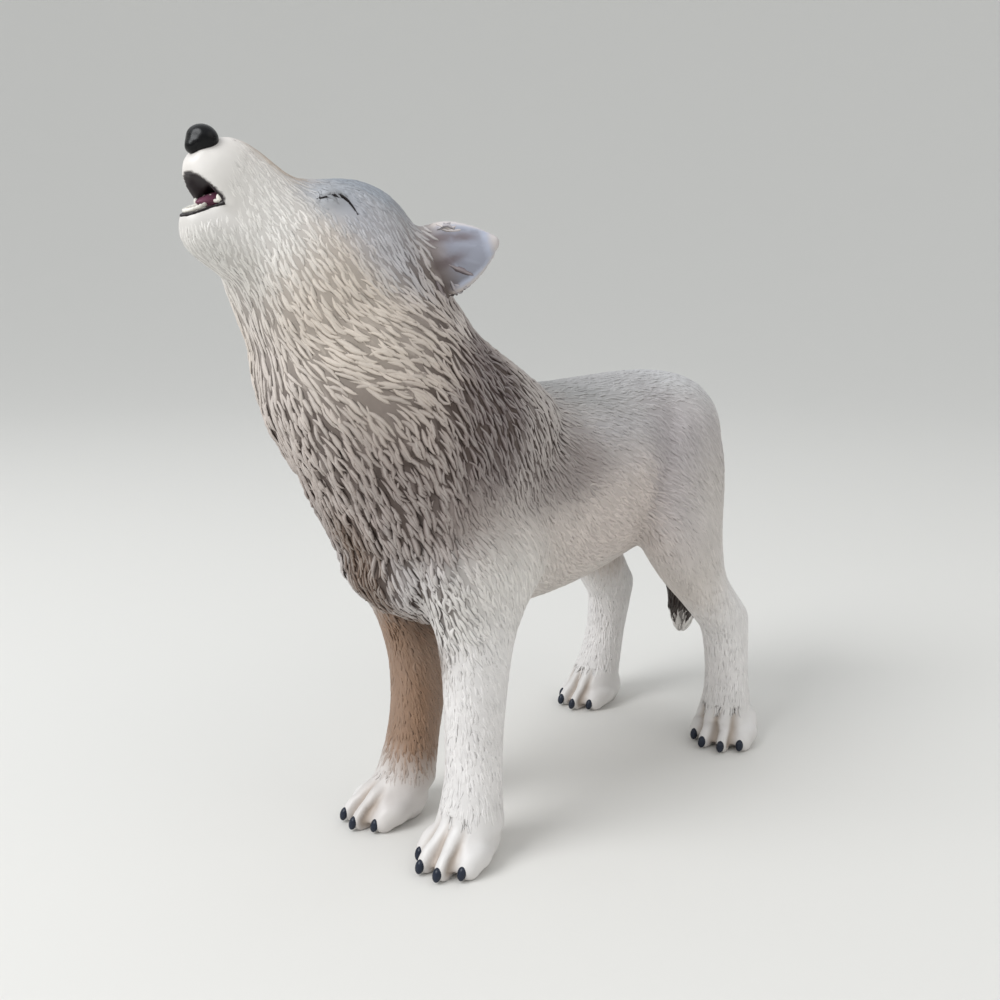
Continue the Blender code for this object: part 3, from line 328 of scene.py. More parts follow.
def loft(clay, origin, along, outward, sections, squareness=2.15, sides=64, step=0.7 * mm):
    sections = np.asarray(sections, dtype=float)
    gaps = np.abs(np.diff(sections[:, 0]))
    rows = smoothRows(sections, [max(2, math.ceil(gap / step)) for gap in gaps])
    turn = turns(sides)
    power = 2.0 / squareness
    across = np.sign(np.cos(turn)) * np.abs(np.cos(turn)) ** power
    rise = np.sign(np.sin(turn)) * np.abs(np.sin(turn)) ** power
    rings = []
    for distance, top, bottom, shift, halfWidth in rows:
        sideways = shift + max(halfWidth, 0.05 * mm) * across
        height = (top + bottom) / 2 + max(abs(top - bottom) / 2, 0.05 * mm) * rise
        points = origin + distance * along + np.outer(height, outward) + np.outer(sideways, side)
        rings.append([clay.verts.new(point) for point in points])
    closeRings(clay, rings)


def frameMatrix(origin, xAxis, yAxis, zAxis, scale=(1.0, 1.0, 1.0)):
    columns = [np.asarray(axis) * factor for axis, factor in zip((xAxis, yAxis, zAxis), scale)]
    columns.append(np.asarray(origin))
    rows = [[column[i] for column in columns] for i in range(3)]
    return Matrix([*rows, [0.0, 0.0, 0.0, 1.0]])


def pressOn(clay, lump):
    bmesh.ops.recalc_face_normals(lump, faces=lump.faces)
    mesh = bpy.data.meshes.new("lump")
    lump.to_mesh(mesh)
    lump.free()
    clay.from_mesh(mesh)
    bpy.data.meshes.remove(mesh)


def ball(clay, origin, radii, xAxis=side, yAxis=back, zAxis=up, segments=32):
    lump = bmesh.new()
    bmesh.ops.create_uvsphere(lump, u_segments=segments, v_segments=segments // 2, radius=1.0,
                              matrix=frameMatrix(origin, xAxis, yAxis, zAxis, radii))
    pressOn(clay, lump)


def headPoint(sideways, along, rise):
    return nose + sideways * side + along * headAxis + rise * headUp


def eyePoint(hand, along=0.0, rise=0.0):
    return headPoint(hand * wolf["eyeSide"], wolf["eyeBack"] + along * wolf["eyeRadius"],
                     wolf["eyeUp"] + rise * wolf["eyeRadius"])


def axesOf(frameName):
    return (side, headAxis, headUp) if frameName == "head" else (side, back, up)


def addBody(clay):
    def scaled(rows, length, width):
        return [(share * length, top * mm, bottom * mm, 0.0, part * width)
                for share, top, bottom, part in rows]

    loft(clay, trunkFront, back, up, scaled(trunkSections, wolf["trunkLength"], wolf["chestHalfWidth"]))
    loft(clay, wolf["bodyHeight"] * up, -up, -back,
         [(-row[0], *row[1:]) for row in scaled(neckSections, wolf["neckHeight"], wolf["neckHalfWidth"])])
    headRows = scaled(headSections, wolf["headLength"], wolf["headHalfWidth"])
    loft(clay, nose, headAxis, headUp, headRows, 2.2)
    loft(clay, chin, back, up, scaled(jawSections, wolf["jawLength"], wolf["jawHalfWidth"]), 2.25)
    tailRows = [(share * wolf["tailLength"], -front * mm, -rear * mm, 0.0, part * wolf["tailHalfWidth"])
                for share, front, rear, part in tailSections]
    loft(clay, trunkEnd + wolf["tailRootUp"] * up, -up, -back, tailRows)
    for hand in (-1, 1):
        radii = [share * wolf["eyeRadius"] for share in (0.62, 1.0, 0.72)]
        ball(clay, eyePoint(hand), radii, side, headAxis, headUp)


def addLegs(clay):
    for hand in (-1, 1):
        right = hand < 0
        legs = [(forePawY, wolf["foreHalfTrack"] - wolf["rightForeTuck"] * right, foreLegSections,
                 wolf["rightForeStep"], wolf["rightForeBend"], 0.46),
                (hindPawY, wolf["hindHalfTrack"] - wolf["rightHindTuck"] * right, hindLegSections,
                 wolf["rightHindStep"], wolf["rightHindBend"], 0.59)]
        for pawY, track, sections, step, bend, bendShare in legs:
            rows = []
            for share, front, rear, out, halfWidth in sections:
                ahead = step * math.exp(-(share / 0.2) ** 2)
                ahead = -(ahead + bend * math.exp(-((share - bendShare) / 0.33) ** 2)) * right
                rows.append((-share * wolf["bodyHeight"], front * mm + ahead, rear * mm + ahead,
                             hand * (track + out * mm), halfWidth * mm))
            loft(clay, pawY * back, -up, -back, rows)


def pawFrame(turn):
    angle = math.radians(turn)
    forward = np.array([math.sin(angle), -math.cos(angle), 0.0])
    return forward, np.array([math.cos(angle), math.sin(angle), 0.0])


def addPaws(clay):
    reach, radius, height = wolf["toeReach"], wolf["toeRadius"], wolf["pawHeight"]
    for x, y, turn, slim in paws:
        forward, across = pawFrame(turn)
        middle = np.array([x, y, 0.0])
        wide = wolf["pawHalfWidth"] * slim
        ball(clay, middle - 0.1 * reach * forward + 0.4 * height * up,
             (0.97 * wide, 0.82 * reach, 0.6 * height), across, -forward)
        ball(clay, middle + 0.32 * reach * forward + 0.34 * height * up,
             (0.93 * wide, 0.66 * reach, 0.5 * height), across, -forward)
        for sideways, share in toes:
            tip = middle + sideways * wide * across + share * reach * forward
            ball(clay, tip - radius * forward + 1.35 * radius * up,
                 (radius, 1.7 * radius, 1.2 * radius), across, -forward)
            ball(clay, tip + 0.85 * radius * up,
                 (0.9 * radius, 1.1 * radius, 1.05 * radius), across, -forward)


def earFrame(hand):
    tip = 4.9 * hand * side + 1.8 * headAxis + 4.1 * headUp
    tip /= np.linalg.norm(tip)
    rise = -2.0 * hand * side - 6.9 * headAxis + 4.5 * headUp
    rise -= (rise @ tip) * tip
    rise /= np.linalg.norm(rise)
    hollow = np.cross(rise, tip)
    hollow *= -np.sign(hollow[1])
    return headPoint(hand * wolf["earSide"], wolf["earBack"], wolf["earUp"]), tip, rise, hollow


def earHalf(share, height):
    above = np.asarray(height) > 0
    narrowing = 1.0 - unit(share) ** np.where(above, 2.1, 2.2)
    return np.where(above, 0.86, 1.0) * wolf["earHalfHeight"] * np.maximum(narrowing, 0.003) ** 0.9


def earMesh(hand):
    origin, tip, rise, hollow = earFrame(hand)
    sheet = bmesh.new()
    bmesh.ops.create_grid(sheet, x_segments=28, y_segments=24, size=0.5)
    for vert in sheet.verts:
        along = vert.co.x + 0.5
        height = vert.co.y * 2.0
        distance = along * (wolf["earLength"] + wolf["earRoot"]) - wolf["earRoot"]
        share = max(distance, 0.0) / wolf["earLength"]
        half = earHalf(share, height)
        cup = wolf["earCup"] * (1.0 - 0.9 * along) * (height ** 2 - 0.6)
        vert.co = origin + distance * tip + height * half * rise - cup * hollow
    ear = objectFrom(sheet, "earSheet")
    shell = ear.modifiers.new("thickness", "SOLIDIFY")
    shell.thickness = wolf["earThickness"]
    shell.offset = 0.0
    mesh = evaluatedMesh(ear)
    bpy.data.objects.remove(ear)
    return mesh


def evaluatedMesh(obj):
    return bpy.data.meshes.new_from_object(obj.evaluated_get(bpy.context.evaluated_depsgraph_get()))


def objectFrom(shape, name):
    mesh = bpy.data.meshes.new(name)
    shape.to_mesh(mesh)
    shape.free()
    return placed(name, mesh)


def addFuse(lump, grain):
    fuse = lump.modifiers.new("fuse", "REMESH")
    fuse.mode = "VOXEL"
    fuse.voxel_size = grain


def fusedSkin():
    clay = bmesh.new()
    addBody(clay)
    addLegs(clay)
    addPaws(clay)
    for hand in (-1, 1):
        shape = bmesh.new()
        shape.from_mesh(earMesh(hand))
        pressOn(clay, shape)
    lump = objectFrom(clay, "clay")
    addFuse(lump, wolf["roughGrain"])
    hollowShape = bmesh.new()
    ball(hollowShape, throatMiddle, throatRadii, side, mouthAlong, mouthRise)
    ball(hollowShape, palateMiddle, palateRadii, side, palateAlong, palateRise)
    rims = [mouthCorner] + [mouthCorner + 2.5 * (lip - mouthCorner) for lip in (lowerLip, upperLip)]
    ends = [[hollowShape.verts.new(rim + hand * 3.0 * wolf["mouthHalfWidth"] * side) for rim in rims]
            for hand in (-1, 1)]
    closeRings(hollowShape, ends)
    hollow = objectFrom(hollowShape, "mouthHollow")
    addFuse(hollow, wolf["mouthGrain"])
    cut = lump.modifiers.new("mouth", "BOOLEAN")
    cut.operation = "DIFFERENCE"
    cut.object = hollow
    addFuse(lump, wolf["fineGrain"])
    skin = evaluatedMesh(lump)
    bpy.data.objects.remove(lump)
    bpy.data.objects.remove(hollow)
    return skin


def meshArrays(mesh):
    points = np.empty(len(mesh.vertices) * 3, dtype=np.float32)
    mesh.vertices.foreach_get("co", points)
    mesh.calc_loop_triangles()
    triangles = np.empty(len(mesh.loop_triangles) * 3, dtype=np.int32)
    mesh.loop_triangles.foreach_get("vertices", triangles)
    edges = np.empty(len(mesh.edges) * 2, dtype=np.int32)
    mesh.edges.foreach_get("vertices", edges)
    return points.reshape(-1, 3).astype(float), triangles.reshape(-1, 3), edges.reshape(-1, 2)


def pointNormals(points, triangles):
    corners = points[triangles]
    faces = np.cross(corners[:, 1] - corners[:, 0], corners[:, 2] - corners[:, 0])
    total = np.zeros_like(points)
    for corner in range(3):
        for axis in range(3):
            total[:, axis] += np.bincount(triangles[:, corner], faces[:, axis], len(points))
    return total / np.maximum(np.linalg.norm(total, axis=1, keepdims=True), 1e-20)


def relax(points, triangles, edges, rounds, fillShare=None):
    neighbours = np.bincount(edges.ravel(), minlength=len(points))[:, None]
    for _ in range(rounds):
        total = np.empty_like(points)
        for axis in range(3):
            total[:, axis] = np.bincount(edges[:, 0], points[edges[:, 1], axis], len(points))
            total[:, axis] += np.bincount(edges[:, 1], points[edges[:, 0], axis], len(points))
        step = 0.5 * (total / neighbours - points)
        if fillShare is not None:
            normals = pointNormals(points, triangles)
            outward = np.maximum(np.sum(step * normals, axis=1, keepdims=True), 0.0)
            step = fillShare[:, None] * outward * normals
        points = points + step
    return points


# The mean of each value and of its neighbours' values
def meanAround(values, edges):
    total = np.bincount(edges[:, 0], values[edges[:, 1]], len(values))
    total += np.bincount(edges[:, 1], values[edges[:, 0]], len(values))
    return 0.5 * values + 0.5 * total / np.bincount(edges.ravel(), minlength=len(values))


def creaseShare(points):
    mouth = chin + 0.25 * wolf["jawLength"] * back + 0.4 * wolf["jawDrop"] * up
    mouthGap = lengths(points - mouth)
    share = np.clip((mouthGap - 0.6 * wolf["jawDrop"]) / (0.4 * wolf["jawDrop"]), 0.03, 1.0)
    return np.minimum(share, np.clip(points[:, 2] / wolf["pawHeight"] - 0.15, 0.3, 1.0))


def placeOf(frameName, sideways, along, rise):
    if frameName == "head":
        return headPoint(sideways * mm, along * mm, rise * mm)
    return np.array([sideways * mm, along * mm, rise * mm + wolf["bodyHeight"]])


def guidePlaces():
    places, lies, locks = [], [], []
    for frameName, (sideways, along, rise), lie, lock in guides:
        for hand in ((-1, 1) if sideways else (1,)):
            places.append(placeOf(frameName, hand * sideways, along, rise))
            axes = axesOf(frameName)
            direction = hand * lie[0] * axes[0] + lie[1] * axes[1] + lie[2] * axes[2]
            lies.append(direction / np.linalg.norm(direction))
            locks.append([value * mm for value in coat[lock][:6]] + [coat[lock][6]])
    return np.array(places), np.array(lies), np.array(locks)


def coatAt(points, normals):
    places, lies, locks = guidePlaces()
    lie = np.empty_like(points)
    lock = np.empty((len(points), 7))
    for start in range(0, len(points), carving["pointsAtOnce"]):
        part = slice(start, start + carving["pointsAtOnce"])
        away = np.sum((points[part, None, :] - places[None, :, :]) ** 2, axis=2)
        nearest = away.min(axis=1, keepdims=True)
        weight = np.exp(-(away - nearest) / (2 * coat["guideReach"] ** 2))
        weight /= away + (0.5 * coat["guideReach"]) ** 2
        weight /= weight.sum(axis=1, keepdims=True)
        lie[part] = weight @ lies
        lock[part] = weight @ locks
    lie -= np.sum(lie * normals, axis=1, keepdims=True) * normals
    lie /= np.maximum(np.linalg.norm(lie, axis=1, keepdims=True), 1e-9)
    return lie, lock


def lockRoots(points, lie, across, length, width, random, share, alongShare=0.38, acrossShare=0.74):
    alongGap = alongShare * length
    acrossGap = acrossShare * width
    cell = alongGap.max()
    order = random.permutation(len(points))[:int(len(points) * share)]
    keys = np.floor(points / cell).astype(int)
    taken = {}
    roots = []
    for index in order:
        i, j, k = keys[index]
        near = [other
                for x in (i - 1, i, i + 1)
                for y in (j - 1, j, j + 1)
                for z in (k - 1, k, k + 1)
                for other in taken.get((x, y, z), ())]
        if near:
            offset = points[near] - points[index]
            gap = (offset @ lie[index] / alongGap[index]) ** 2
            gap += (offset @ across[index] / acrossGap[index]) ** 2
            if gap.min() < 1.0:
                continue
        taken.setdefault((i, j, k), []).append(index)
        roots.append(index)
    return np.array(roots)


def pairsInReach(points, probes, cell):
    low = np.minimum(points.min(axis=0), probes.reshape(-1, 3).min(axis=0)) - cell
    size = np.ceil((np.maximum(points.max(axis=0), probes.reshape(-1, 3).max(axis=0)) - low) / cell)
    size = size.astype(np.int64) + 1

    def cellNumber(where):
        index = np.floor((where - low) / cell).astype(np.int64)
        return (index[..., 0] * size[1] + index[..., 1]) * size[2] + index[..., 2]

    pointCells = cellNumber(points)
    order = np.argsort(pointCells, kind="stable")
    cells, starts, counts = np.unique(pointCells[order], return_index=True, return_counts=True)
    groups = np.repeat(np.arange(len(probes)), probes.shape[1])
    combined = np.unique(groups * size.prod() + cellNumber(probes).ravel())
    groups = combined // size.prod()
    wanted = combined % size.prod()
    slot = np.searchsorted(cells, wanted)
    slot[slot == len(cells)] = 0
    found = cells[slot] == wanted
    groups, slot = groups[found], slot[found]
    repeat = counts[slot]
    offsets = np.arange(repeat.sum()) - np.repeat(np.cumsum(repeat) - repeat, repeat)
    return np.repeat(groups, repeat), order[np.repeat(starts[slot], repeat) + offsets]


# Lays locks on the skin and returns their frames, and for each point its lock and the rise
def growLocks(points, normals, roots, lie, length, width, depth, random, swirlSpread, cell):
    count = len(roots)
    wave = points[roots] * (2.0 * math.pi / coat["swirlLength"])
    drift = np.sin(wave[:, 2] + 1.7 * np.sin(wave[:, 1])) * np.cos(0.8 * wave[:, 1] + wave[:, 0])
    length = length * random.uniform(0.75, 1.25, count)
    width = width * random.uniform(0.8, 1.25, count)
    depth = depth * random.uniform(0.8, 1.1, count)
    swirl = random.normal(0.0, 0.35 * swirlSpread, count) + swirlSpread * drift
    sway = coat["wave"] * random.uniform(-1.0, 1.0, count)
    normal = normals[roots]
    across = np.cross(normal, lie)
    along = np.cos(swirl)[:, None] * lie + np.sin(swirl)[:, None] * across
    across = np.cross(normal, along)
    steps = np.linspace(0.03, 0.97, math.ceil(length.max() / (0.9 * cell)) + 1)
    shifts = np.linspace(-0.5, 0.5, math.ceil(width.max() / (0.9 * cell)) + 1)
    drops = np.linspace(-0.12, 0.12, math.ceil(0.24 * length.max() / (0.9 * cell)) + 1)
    probes = (points[roots][:, None, None, None, :]
              + steps[None, :, None, None, None] * (length[:, None] * along)[:, None, None, None, :]
              + shifts[None, None, :, None, None] * (width[:, None] * across)[:, None, None, None, :]
              + drops[None, None, None, :, None] * (length[:, None] * normal)[:, None, None, None, :])
    group, member = pairsInReach(points, probes.reshape(count, -1, 3), cell)
    locks = {"root": points[roots], "along": along, "across": across,
             "length": length, "width": width, "depth": depth, "sway": sway}
    down, lateral = lockPlace(locks, group, points[member])
    lean = dots(normals[member], normal[group])
    inside = (down > 0.0) & (down < 1.0) & (lean > 0.25)
    group, member, down, lateral = group[inside], member[inside], down[inside], lateral[inside]
    edge = lateral / np.maximum(lockTaper(down), 1e-6)
    crown = unit(1.0 - edge ** 2) ** 0.8
    ramp = unit(down / 0.15) * (0.3 + 0.7 * down)
    height = depth[group] * crown * ramp
    order = np.argsort(height, kind="stable")
    rise = np.zeros(len(points))
    winner = np.full(len(points), -1)
    rise[member[order]] = height[order]
    winner[member[order]] = group[order]
    return locks, winner, rise


def lockPlace(locks, group, places):
    offset = places - locks["root"][group]
    down = dots(offset, locks["along"][group]) / locks["length"][group]
    lateral = dots(offset, locks["across"][group]) / locks["width"][group]
    sway = locks["sway"][group]
    return down, lateral - sway * np.sin(2.6 * down + 6.0 * sway)


def lockTaper(down):
    return 0.5 * unit(1.25 * (1.0 - down)) ** 0.6 * unit(0.45 + 2.2 * down)


# 0 where the moulding is bare, such as the nose, the mouth and the toes, and 1 in the coat
def bareShare(points):
    noseGap = lengths(points - nose)
    share = unit((noseGap - 3.5 * mm) / (3.0 * mm))
    share = np.minimum(share, unit((points[:, 2] - 0.7 * wolf["pawHeight"])
                                      / (0.6 * wolf["pawHeight"])))
    for hand in (-1, 1):
        eye = eyePoint(hand)
        eyeGap = lengths(points - eye)
        share = np.minimum(share, unit((eyeGap - 0.8 * wolf["eyeRadius"]) / wolf["eyeRadius"]))
    return share


def toeGrooves(points):
    depth = np.zeros(len(points))
    for x, y, turn, slim in paws:
        forward, across = pawFrame(turn)
        offset = points - np.array([x, y, 0.0])
        ahead = offset @ forward / wolf["toeReach"]
        sideways = offset @ across / (wolf["pawHalfWidth"] * slim)
        near = (np.abs(sideways) < 1.3) & (np.abs(ahead) < 1.6) & (points[:, 2] < wolf["pawHeight"])
        for gap in toeGaps:
            line = (sideways - gap * (0.7 + 0.3 * ahead)) * wolf["pawHalfWidth"] / wolf["toeGapWidth"]
            reach = unit((ahead - 0.35) / 0.45) * near
            depth = np.maximum(depth, wolf["toeGapDepth"] * np.exp(-line ** 2) * reach)
    return depth


# How far the ear's rim stands over its hollow, 1 on the rim and 0 elsewhere
def earRims(points, normals, bothFaces=False):
    share = np.zeros(len(points))
    for hand in (-1, 1):
        origin, tip, rise, hollow = earFrame(hand)
        offset = points - origin
        along, height = offset @ tip / wolf["earLength"], offset @ rise
        ratio = np.maximum(np.abs(height) / earHalf(along, height), along + 0.02)
        inEar = (along > 0.0) & (along < 1.25) & (np.abs(offset @ hollow) < 3.0 * mm)
        rim = unit((ratio - 0.76) / 0.1) * unit((1.6 - ratio) / 0.3)
        inEar = inEar & (offset[:, 0] * hand > 0)
        face = 1.0 if bothFaces else unit((normals @ hollow) / 0.25)
        share = np.maximum(share, rim * inEar * face * unit((along - 0.1) / 0.2))
    return share


def lidRise(along):
    return 0.4 * along - 0.5 + 0.95 * (1.0 - along ** 2)


def lidPlace(points, hand):
    offset = points - eyePoint(hand)
    along = offset @ headAxis / wolf["eyeRadius"]
    rise = offset @ headUp / wolf["eyeRadius"]
    return offset[:, 0] * hand > 0, along, rise - lidRise(along)


def lidLine(points, halfWidth):
    line = np.zeros(len(points))
    for hand in (-1, 1):
        outside, along, arc = lidPlace(points, hand)
        reach = unit((0.9 - np.abs(along)) / 0.25) * outside
        line = np.maximum(line, np.exp(-(arc * wolf["eyeRadius"] / halfWidth) ** 2) * reach)
    return line


# Fuses the clay, carves clumps and fine locks into it and thins the mesh to its limit
def carvedSkin():
    skin = fusedSkin()
    points, triangles, edges = meshArrays(skin)
    report(f"fused skin, {len(points)} points")
    points = relax(points, triangles, edges, carving["creaseRounds"], creaseShare(points))
    points = relax(points, triangles, edges, carving["smoothRounds"])
    report("creases filled")
    random = np.random.default_rng(wolf["seed"])
    normals = pointNormals(points, triangles)
    lie, lock = coatAt(points, normals)
    across = np.cross(normals, lie)
    clumpShare = unit((lock[:, 2] - 0.2 * mm) / (0.2 * mm))
    ones = np.ones(len(points))
    roots = lockRoots(points, lie, across, coat["clumpLength"] * ones, coat["clumpWidth"] * ones,
                      random, carving["clumpCandidates"])
    _, _, clumpRise = growLocks(
        points, normals, roots, lie[roots], coat["clumpLength"] * np.ones(len(roots)),
        coat["clumpWidth"] * np.ones(len(roots)), coat["clumpDepth"] * clumpShare[roots],
        random, 0.5 * coat["swirl"], carving["clumpCell"])
    report(f"{len(roots)} clumps")
    roots = lockRoots(points, lie, across, lock[:, 0], lock[:, 1], random, carving["lockCandidates"])
    locks, winner, rise = growLocks(
        points, normals, roots, lie[roots], lock[roots, 0], lock[roots, 1], lock[roots, 2], random,
        coat["swirl"] * (0.4 + 0.6 * clumpShare[roots]), carving["lockCell"])
    report(f"{len(roots)} locks")
    share = bareShare(points)
    rise = np.maximum(rise, coat["bareRise"] * lock[:, 2])
    lift = rise - carving["settle"] * lock[:, 2] + clumpRise - 0.5 * coat["clumpDepth"] * clumpShare
    lift = share * lift
    rims = earRims(points, normals)
    share = share * (1.0 - rims)
    lift = lift * (1.0 - rims) + carving["earRimRise"] * rims
    lift -= carving["lidDepth"] * lidLine(points, carving["lidHalfWidth"]) + toeGrooves(points)
    blurred = lift
    for _ in range(carving["blurRounds"]):
        blurred = meanAround(blurred, edges)
    # How far each point lies below its surroundings; it later deepens the dark wash and painted shade in
    # hollows
    hollow = np.clip((blurred - lift) / carving["hollowRange"], -1.0, 1.0) * share
    carved = points + lift[:, None] * normals
    carved = relax(carved, triangles, edges, 1)
    carved[:, 2] = np.maximum(carved[:, 2], 0.0)
    skin.vertices.foreach_set("co", carved.astype(np.float32).ravel())
    skin.update()
    lump = placed("carved", skin)
    thin = lump.modifiers.new("fewerFaces", "DECIMATE")
    thin.ratio = wolf["faceLimit"] / (2 * len(skin.polygons))
    thin.use_collapse_triangulate = True
    thinned = evaluatedMesh(lump)
    bpy.data.objects.remove(lump)
    report(f"thinned to {len(thinned.polygons)} triangles")
    facts = {"carved": carved, "smooth": points, "normals": normals, "lie": lie, "lock": lock,
             "winner": winner, "bare": share, "locks": locks, "hollow": hollow}
    return thinned, facts


def treeOf(sources):
    tree = kdtree.KDTree(len(sources))
    for i, source in enumerate(sources):
        tree.insert(source, i)
    tree.balance()
    return tree


def nearestPoints(places, tree):
    return np.array([tree.find(place)[1] for place in places])


# Colours of the sprayed fields
paint = {
    "base": "#cfc7c1",
    "muzzle": "#e6e3df",
    "muzzleTop": "#a08a72",
    "jaw": "#d6d5d1",
    "cheek": "#d9cdc1",
    "forehead": "#878e98",
    "temple": "#b9bac3",
    "throat": "#beb1aa",
    "neck": "#a99b93",
    "band": "#5c4d4e",
    "nape": "#a9a09d",
    "maneEnd": "#918784",
    "chest": "#857874",
    # The chest's underside: brown paint darkened with painted shade
    "chestBottomBrownAndShade": "#664f3f",
    "tuft": "#c0bbbb",
    "shoulder": "#dedad6",
    "pink": "#cdc1bb",
    "flank": "#b5b2b5",
    "flankRear": "#a8a1a4",
    "back": "#8f8f8f",
    "backRear": "#b3b1b2",
    "rump": "#c9c9cb",
    "thigh": "#c3bdb9",
    "thighTop": "#b0aaab",
    "legs": "#e2dfde",
    # The legs' inner sides: brown paint darkened with painted shade
    "innerLegBrownAndShade": "#8a6c55",
    "paws": "#d6d3d1",
    "toeShade": "#94816f",
    "tail": "#2b201b",
    "tailTip": "#e6e2de",
    "ear": "#a9aebe",
    "earFurrow": "#75686c",
    "earBase": "#9c9294",
    "rim": "#d0c6bf",
    "mouth": "#1d1015",
}
# Coats of paint in the order they are sprayed: where (frame, sideways, back, up in mm), radii in mm,
# softness of the edge, colour, strength. All are mirrored but those with a negative sideways place.
coats = [
    ("body", (0.0, -4.0, 16.0), (14.0, 20.0, 9.0), 0.5, "back", 0.9),
    ("body", (0.0, 12.0, 15.0), (13.0, 14.0, 8.0), 0.6, "backRear", 0.85),
    ("body", (0.0, 26.0, 13.0), (12.0, 12.0, 9.0), 0.6, "rump", 0.8),
    ("body", (12.0, 0.0, 6.0), (7.0, 17.0, 5.0), 0.6, "flank", 0.8),
    ("body", (12.0, 0.0, -3.0), (8.0, 17.0, 8.0), 0.6, "pink", 0.75),
    ("body", (12.0, 11.0, 2.0), (7.0, 5.0, 12.0), 0.6, "flankRear", 0.75),
    ("body", (13.0, 20.0, 6.0), (8.0, 9.0, 7.0), 0.6, "thighTop", 0.7),
    ("body", (14.0, 20.0, -6.0), (8.0, 10.0, 9.0), 0.6, "thigh", 0.8),
    ("body", (12.0, -22.0, 17.0), (13.0, 14.0, 17.0), 0.5, "nape", 0.9),
    ("body", (10.0, -32.0, 24.0), (9.0, 14.0, 9.0), 0.5, "throat", 0.75),
    ("body", (9.0, -38.0, 12.0), (9.0, 11.0, 10.0), 0.5, "neck", 0.85),
    ("body", (7.0, -38.0, 1.0), (11.0, 11.0, 9.0), 0.5, "chest", 0.85),
    ("body", (7.0, -33.0, -9.0), (7.0, 8.0, 6.0), 0.5, "tuft", 0.85),
    ("body", (0.0, -46.0, 8.0), (6.0, 10.0, 14.0), 0.5, "throat", 0.55),
    ("body", (13.0, -27.0, 24.0), (6.0, 5.0, 12.0), 0.5, "band", 0.9),
    ("body", (13.0, -29.0, 12.0), (6.0, 6.0, 8.0), 0.5, "band", 0.75),
    ("body", (13.0, -14.0, 5.0), (7.0, 9.0, 4.5), 0.6, "maneEnd", 0.9),
    ("body", (12.0, -27.0, -12.0), (7.0, 10.0, 9.0), 0.5, "shoulder", 0.9),
    ("body", (11.0, -27.0, -31.0), (9.0, 10.0, 20.0), 0.35, "legs", 0.95),
    ("body", (13.0, 28.0, -30.0), (9.0, 14.0, 20.0), 0.35, "legs", 0.95),
    # The chest's underside between the forelegs: brown paint darkened with painted shade
    ("body", (0.0, -40.0, -7.0), (4.2, 7.0, 9.0), 0.4, "chestBottomBrownAndShade", 0.95),
    ("body", (0.0, -27.0, -16.0), (7.5, 9.0, 5.0), 0.4, "chestBottomBrownAndShade", 0.95),
    # The forelegs' inner sides: brown paint darkened with painted shade
    ("body", (0.0, -25.0, -28.0), (5.2, 9.0, 14.0), 0.25, "innerLegBrownAndShade", 0.9),
    ("body", (-7.0, -29.0, -29.0), (4.6, 9.5, 16.5), 0.25, "innerLegBrownAndShade", 0.95),
    # Painted shade under the belly and on the hind legs' inner sides
    ("body", (0.0, 20.0, -14.0), (8.0, 14.0, 9.0), 0.5, "innerLegBrownAndShade", 0.5),
    ("body", (10.0, -27.0, -41.0), (9.0, 12.0, 6.0), 0.5, "paws", 0.85),
    ("body", (13.0, 24.0, -41.0), (9.0, 12.0, 6.0), 0.5, "paws", 0.85),
    ("head", (8.0, 18.0, -3.0), (7.0, 10.0, 7.0), 0.6, "cheek", 0.9),
    ("head", (3.0, 6.0, -1.0), (6.0, 7.0, 6.0), 0.6, "muzzle", 0.9),
    ("head", (3.0, 6.0, -9.0), (6.0, 7.0, 4.0), 0.6, "jaw", 0.8),
    ("head", (0.0, 6.0, 6.0), (3.0, 4.8, 1.8), 0.5, "muzzleTop", 0.9),
    ("head", (0.0, 16.0, 12.0), (9.0, 9.0, 6.5), 0.4, "forehead", 0.95),
    ("head", (5.6, 11.8, 6.0), (3.6, 4.4, 2.6), 0.6, "forehead", 0.75),
    ("head", (8.0, 18.0, 6.0), (4.0, 5.0, 3.5), 0.7, "temple", 0.7),
    ("head", (0.0, 25.0, 12.0), (10.0, 7.0, 8.0), 0.6, "nape", 0.85),
    ("body", (0.0, 33.5, -11.0), (6.5, 10.0, 23.0), 0.12, "tail", 1.0),
    ("body", (0.0, 31.0, -32.0), (7.0, 12.0, 5.6), 0.12, "tailTip", 1.0),
]


def linear(hexColour):
    channels = np.array([int(hexColour[i:i + 2], 16) / 255.0 for i in (1, 3, 5)])
    return np.where(channels <= 0.04045, channels / 12.92, ((channels + 0.055) / 1.055) ** 2.4)


def paintAt(points):
    colour = np.tile(linear(paint["base"]), (len(points), 1))
    for frameName, (sideways, along, rise), radii, soft, name, strength in coats:
        mask = np.zeros(len(points))
        axes = axesOf(frameName)
        for hand in ((-1, 1) if sideways > 0 else (1,)):
            offset = points - placeOf(frameName, hand * sideways, along, rise)
            gap = np.sqrt(sum((offset @ axis / (radius * mm)) ** 2 for axis, radius in zip(axes, radii)))
            mask = np.maximum(mask, unit((1.0 + soft - gap) / (2 * soft)))
        mask = (mask ** 2 * (3.0 - 2.0 * mask) * strength)[:, None]
        colour = colour * (1.0 - mask) + linear(paint[name]) * mask
    return colour


# Distance outside the mouth's wedge and throat, and the height over the lower lip's plane
def mouthPlace(points):
    offset = points - mouthCorner
    height = offset @ mouthRise
    gap = np.maximum(offset @ palateRise, -height)
    for middle, along, rise, radii in ((throatMiddle, mouthAlong, mouthRise, throatRadii),
                                       (palateMiddle, palateAlong, palateRise, palateRadii)):
        offset = points - middle
        axes = zip((side, along, rise), radii)
        share = np.sqrt(sum((offset @ axis / radius) ** 2 for axis, radius in axes))
        gap = np.minimum(gap, (share - 1.0) * min(radii))
    return gap, height


def overlay(colour, mask, name):
    return colour * (1.0 - mask[:, None]) + linear(paint[name]) * mask[:, None]


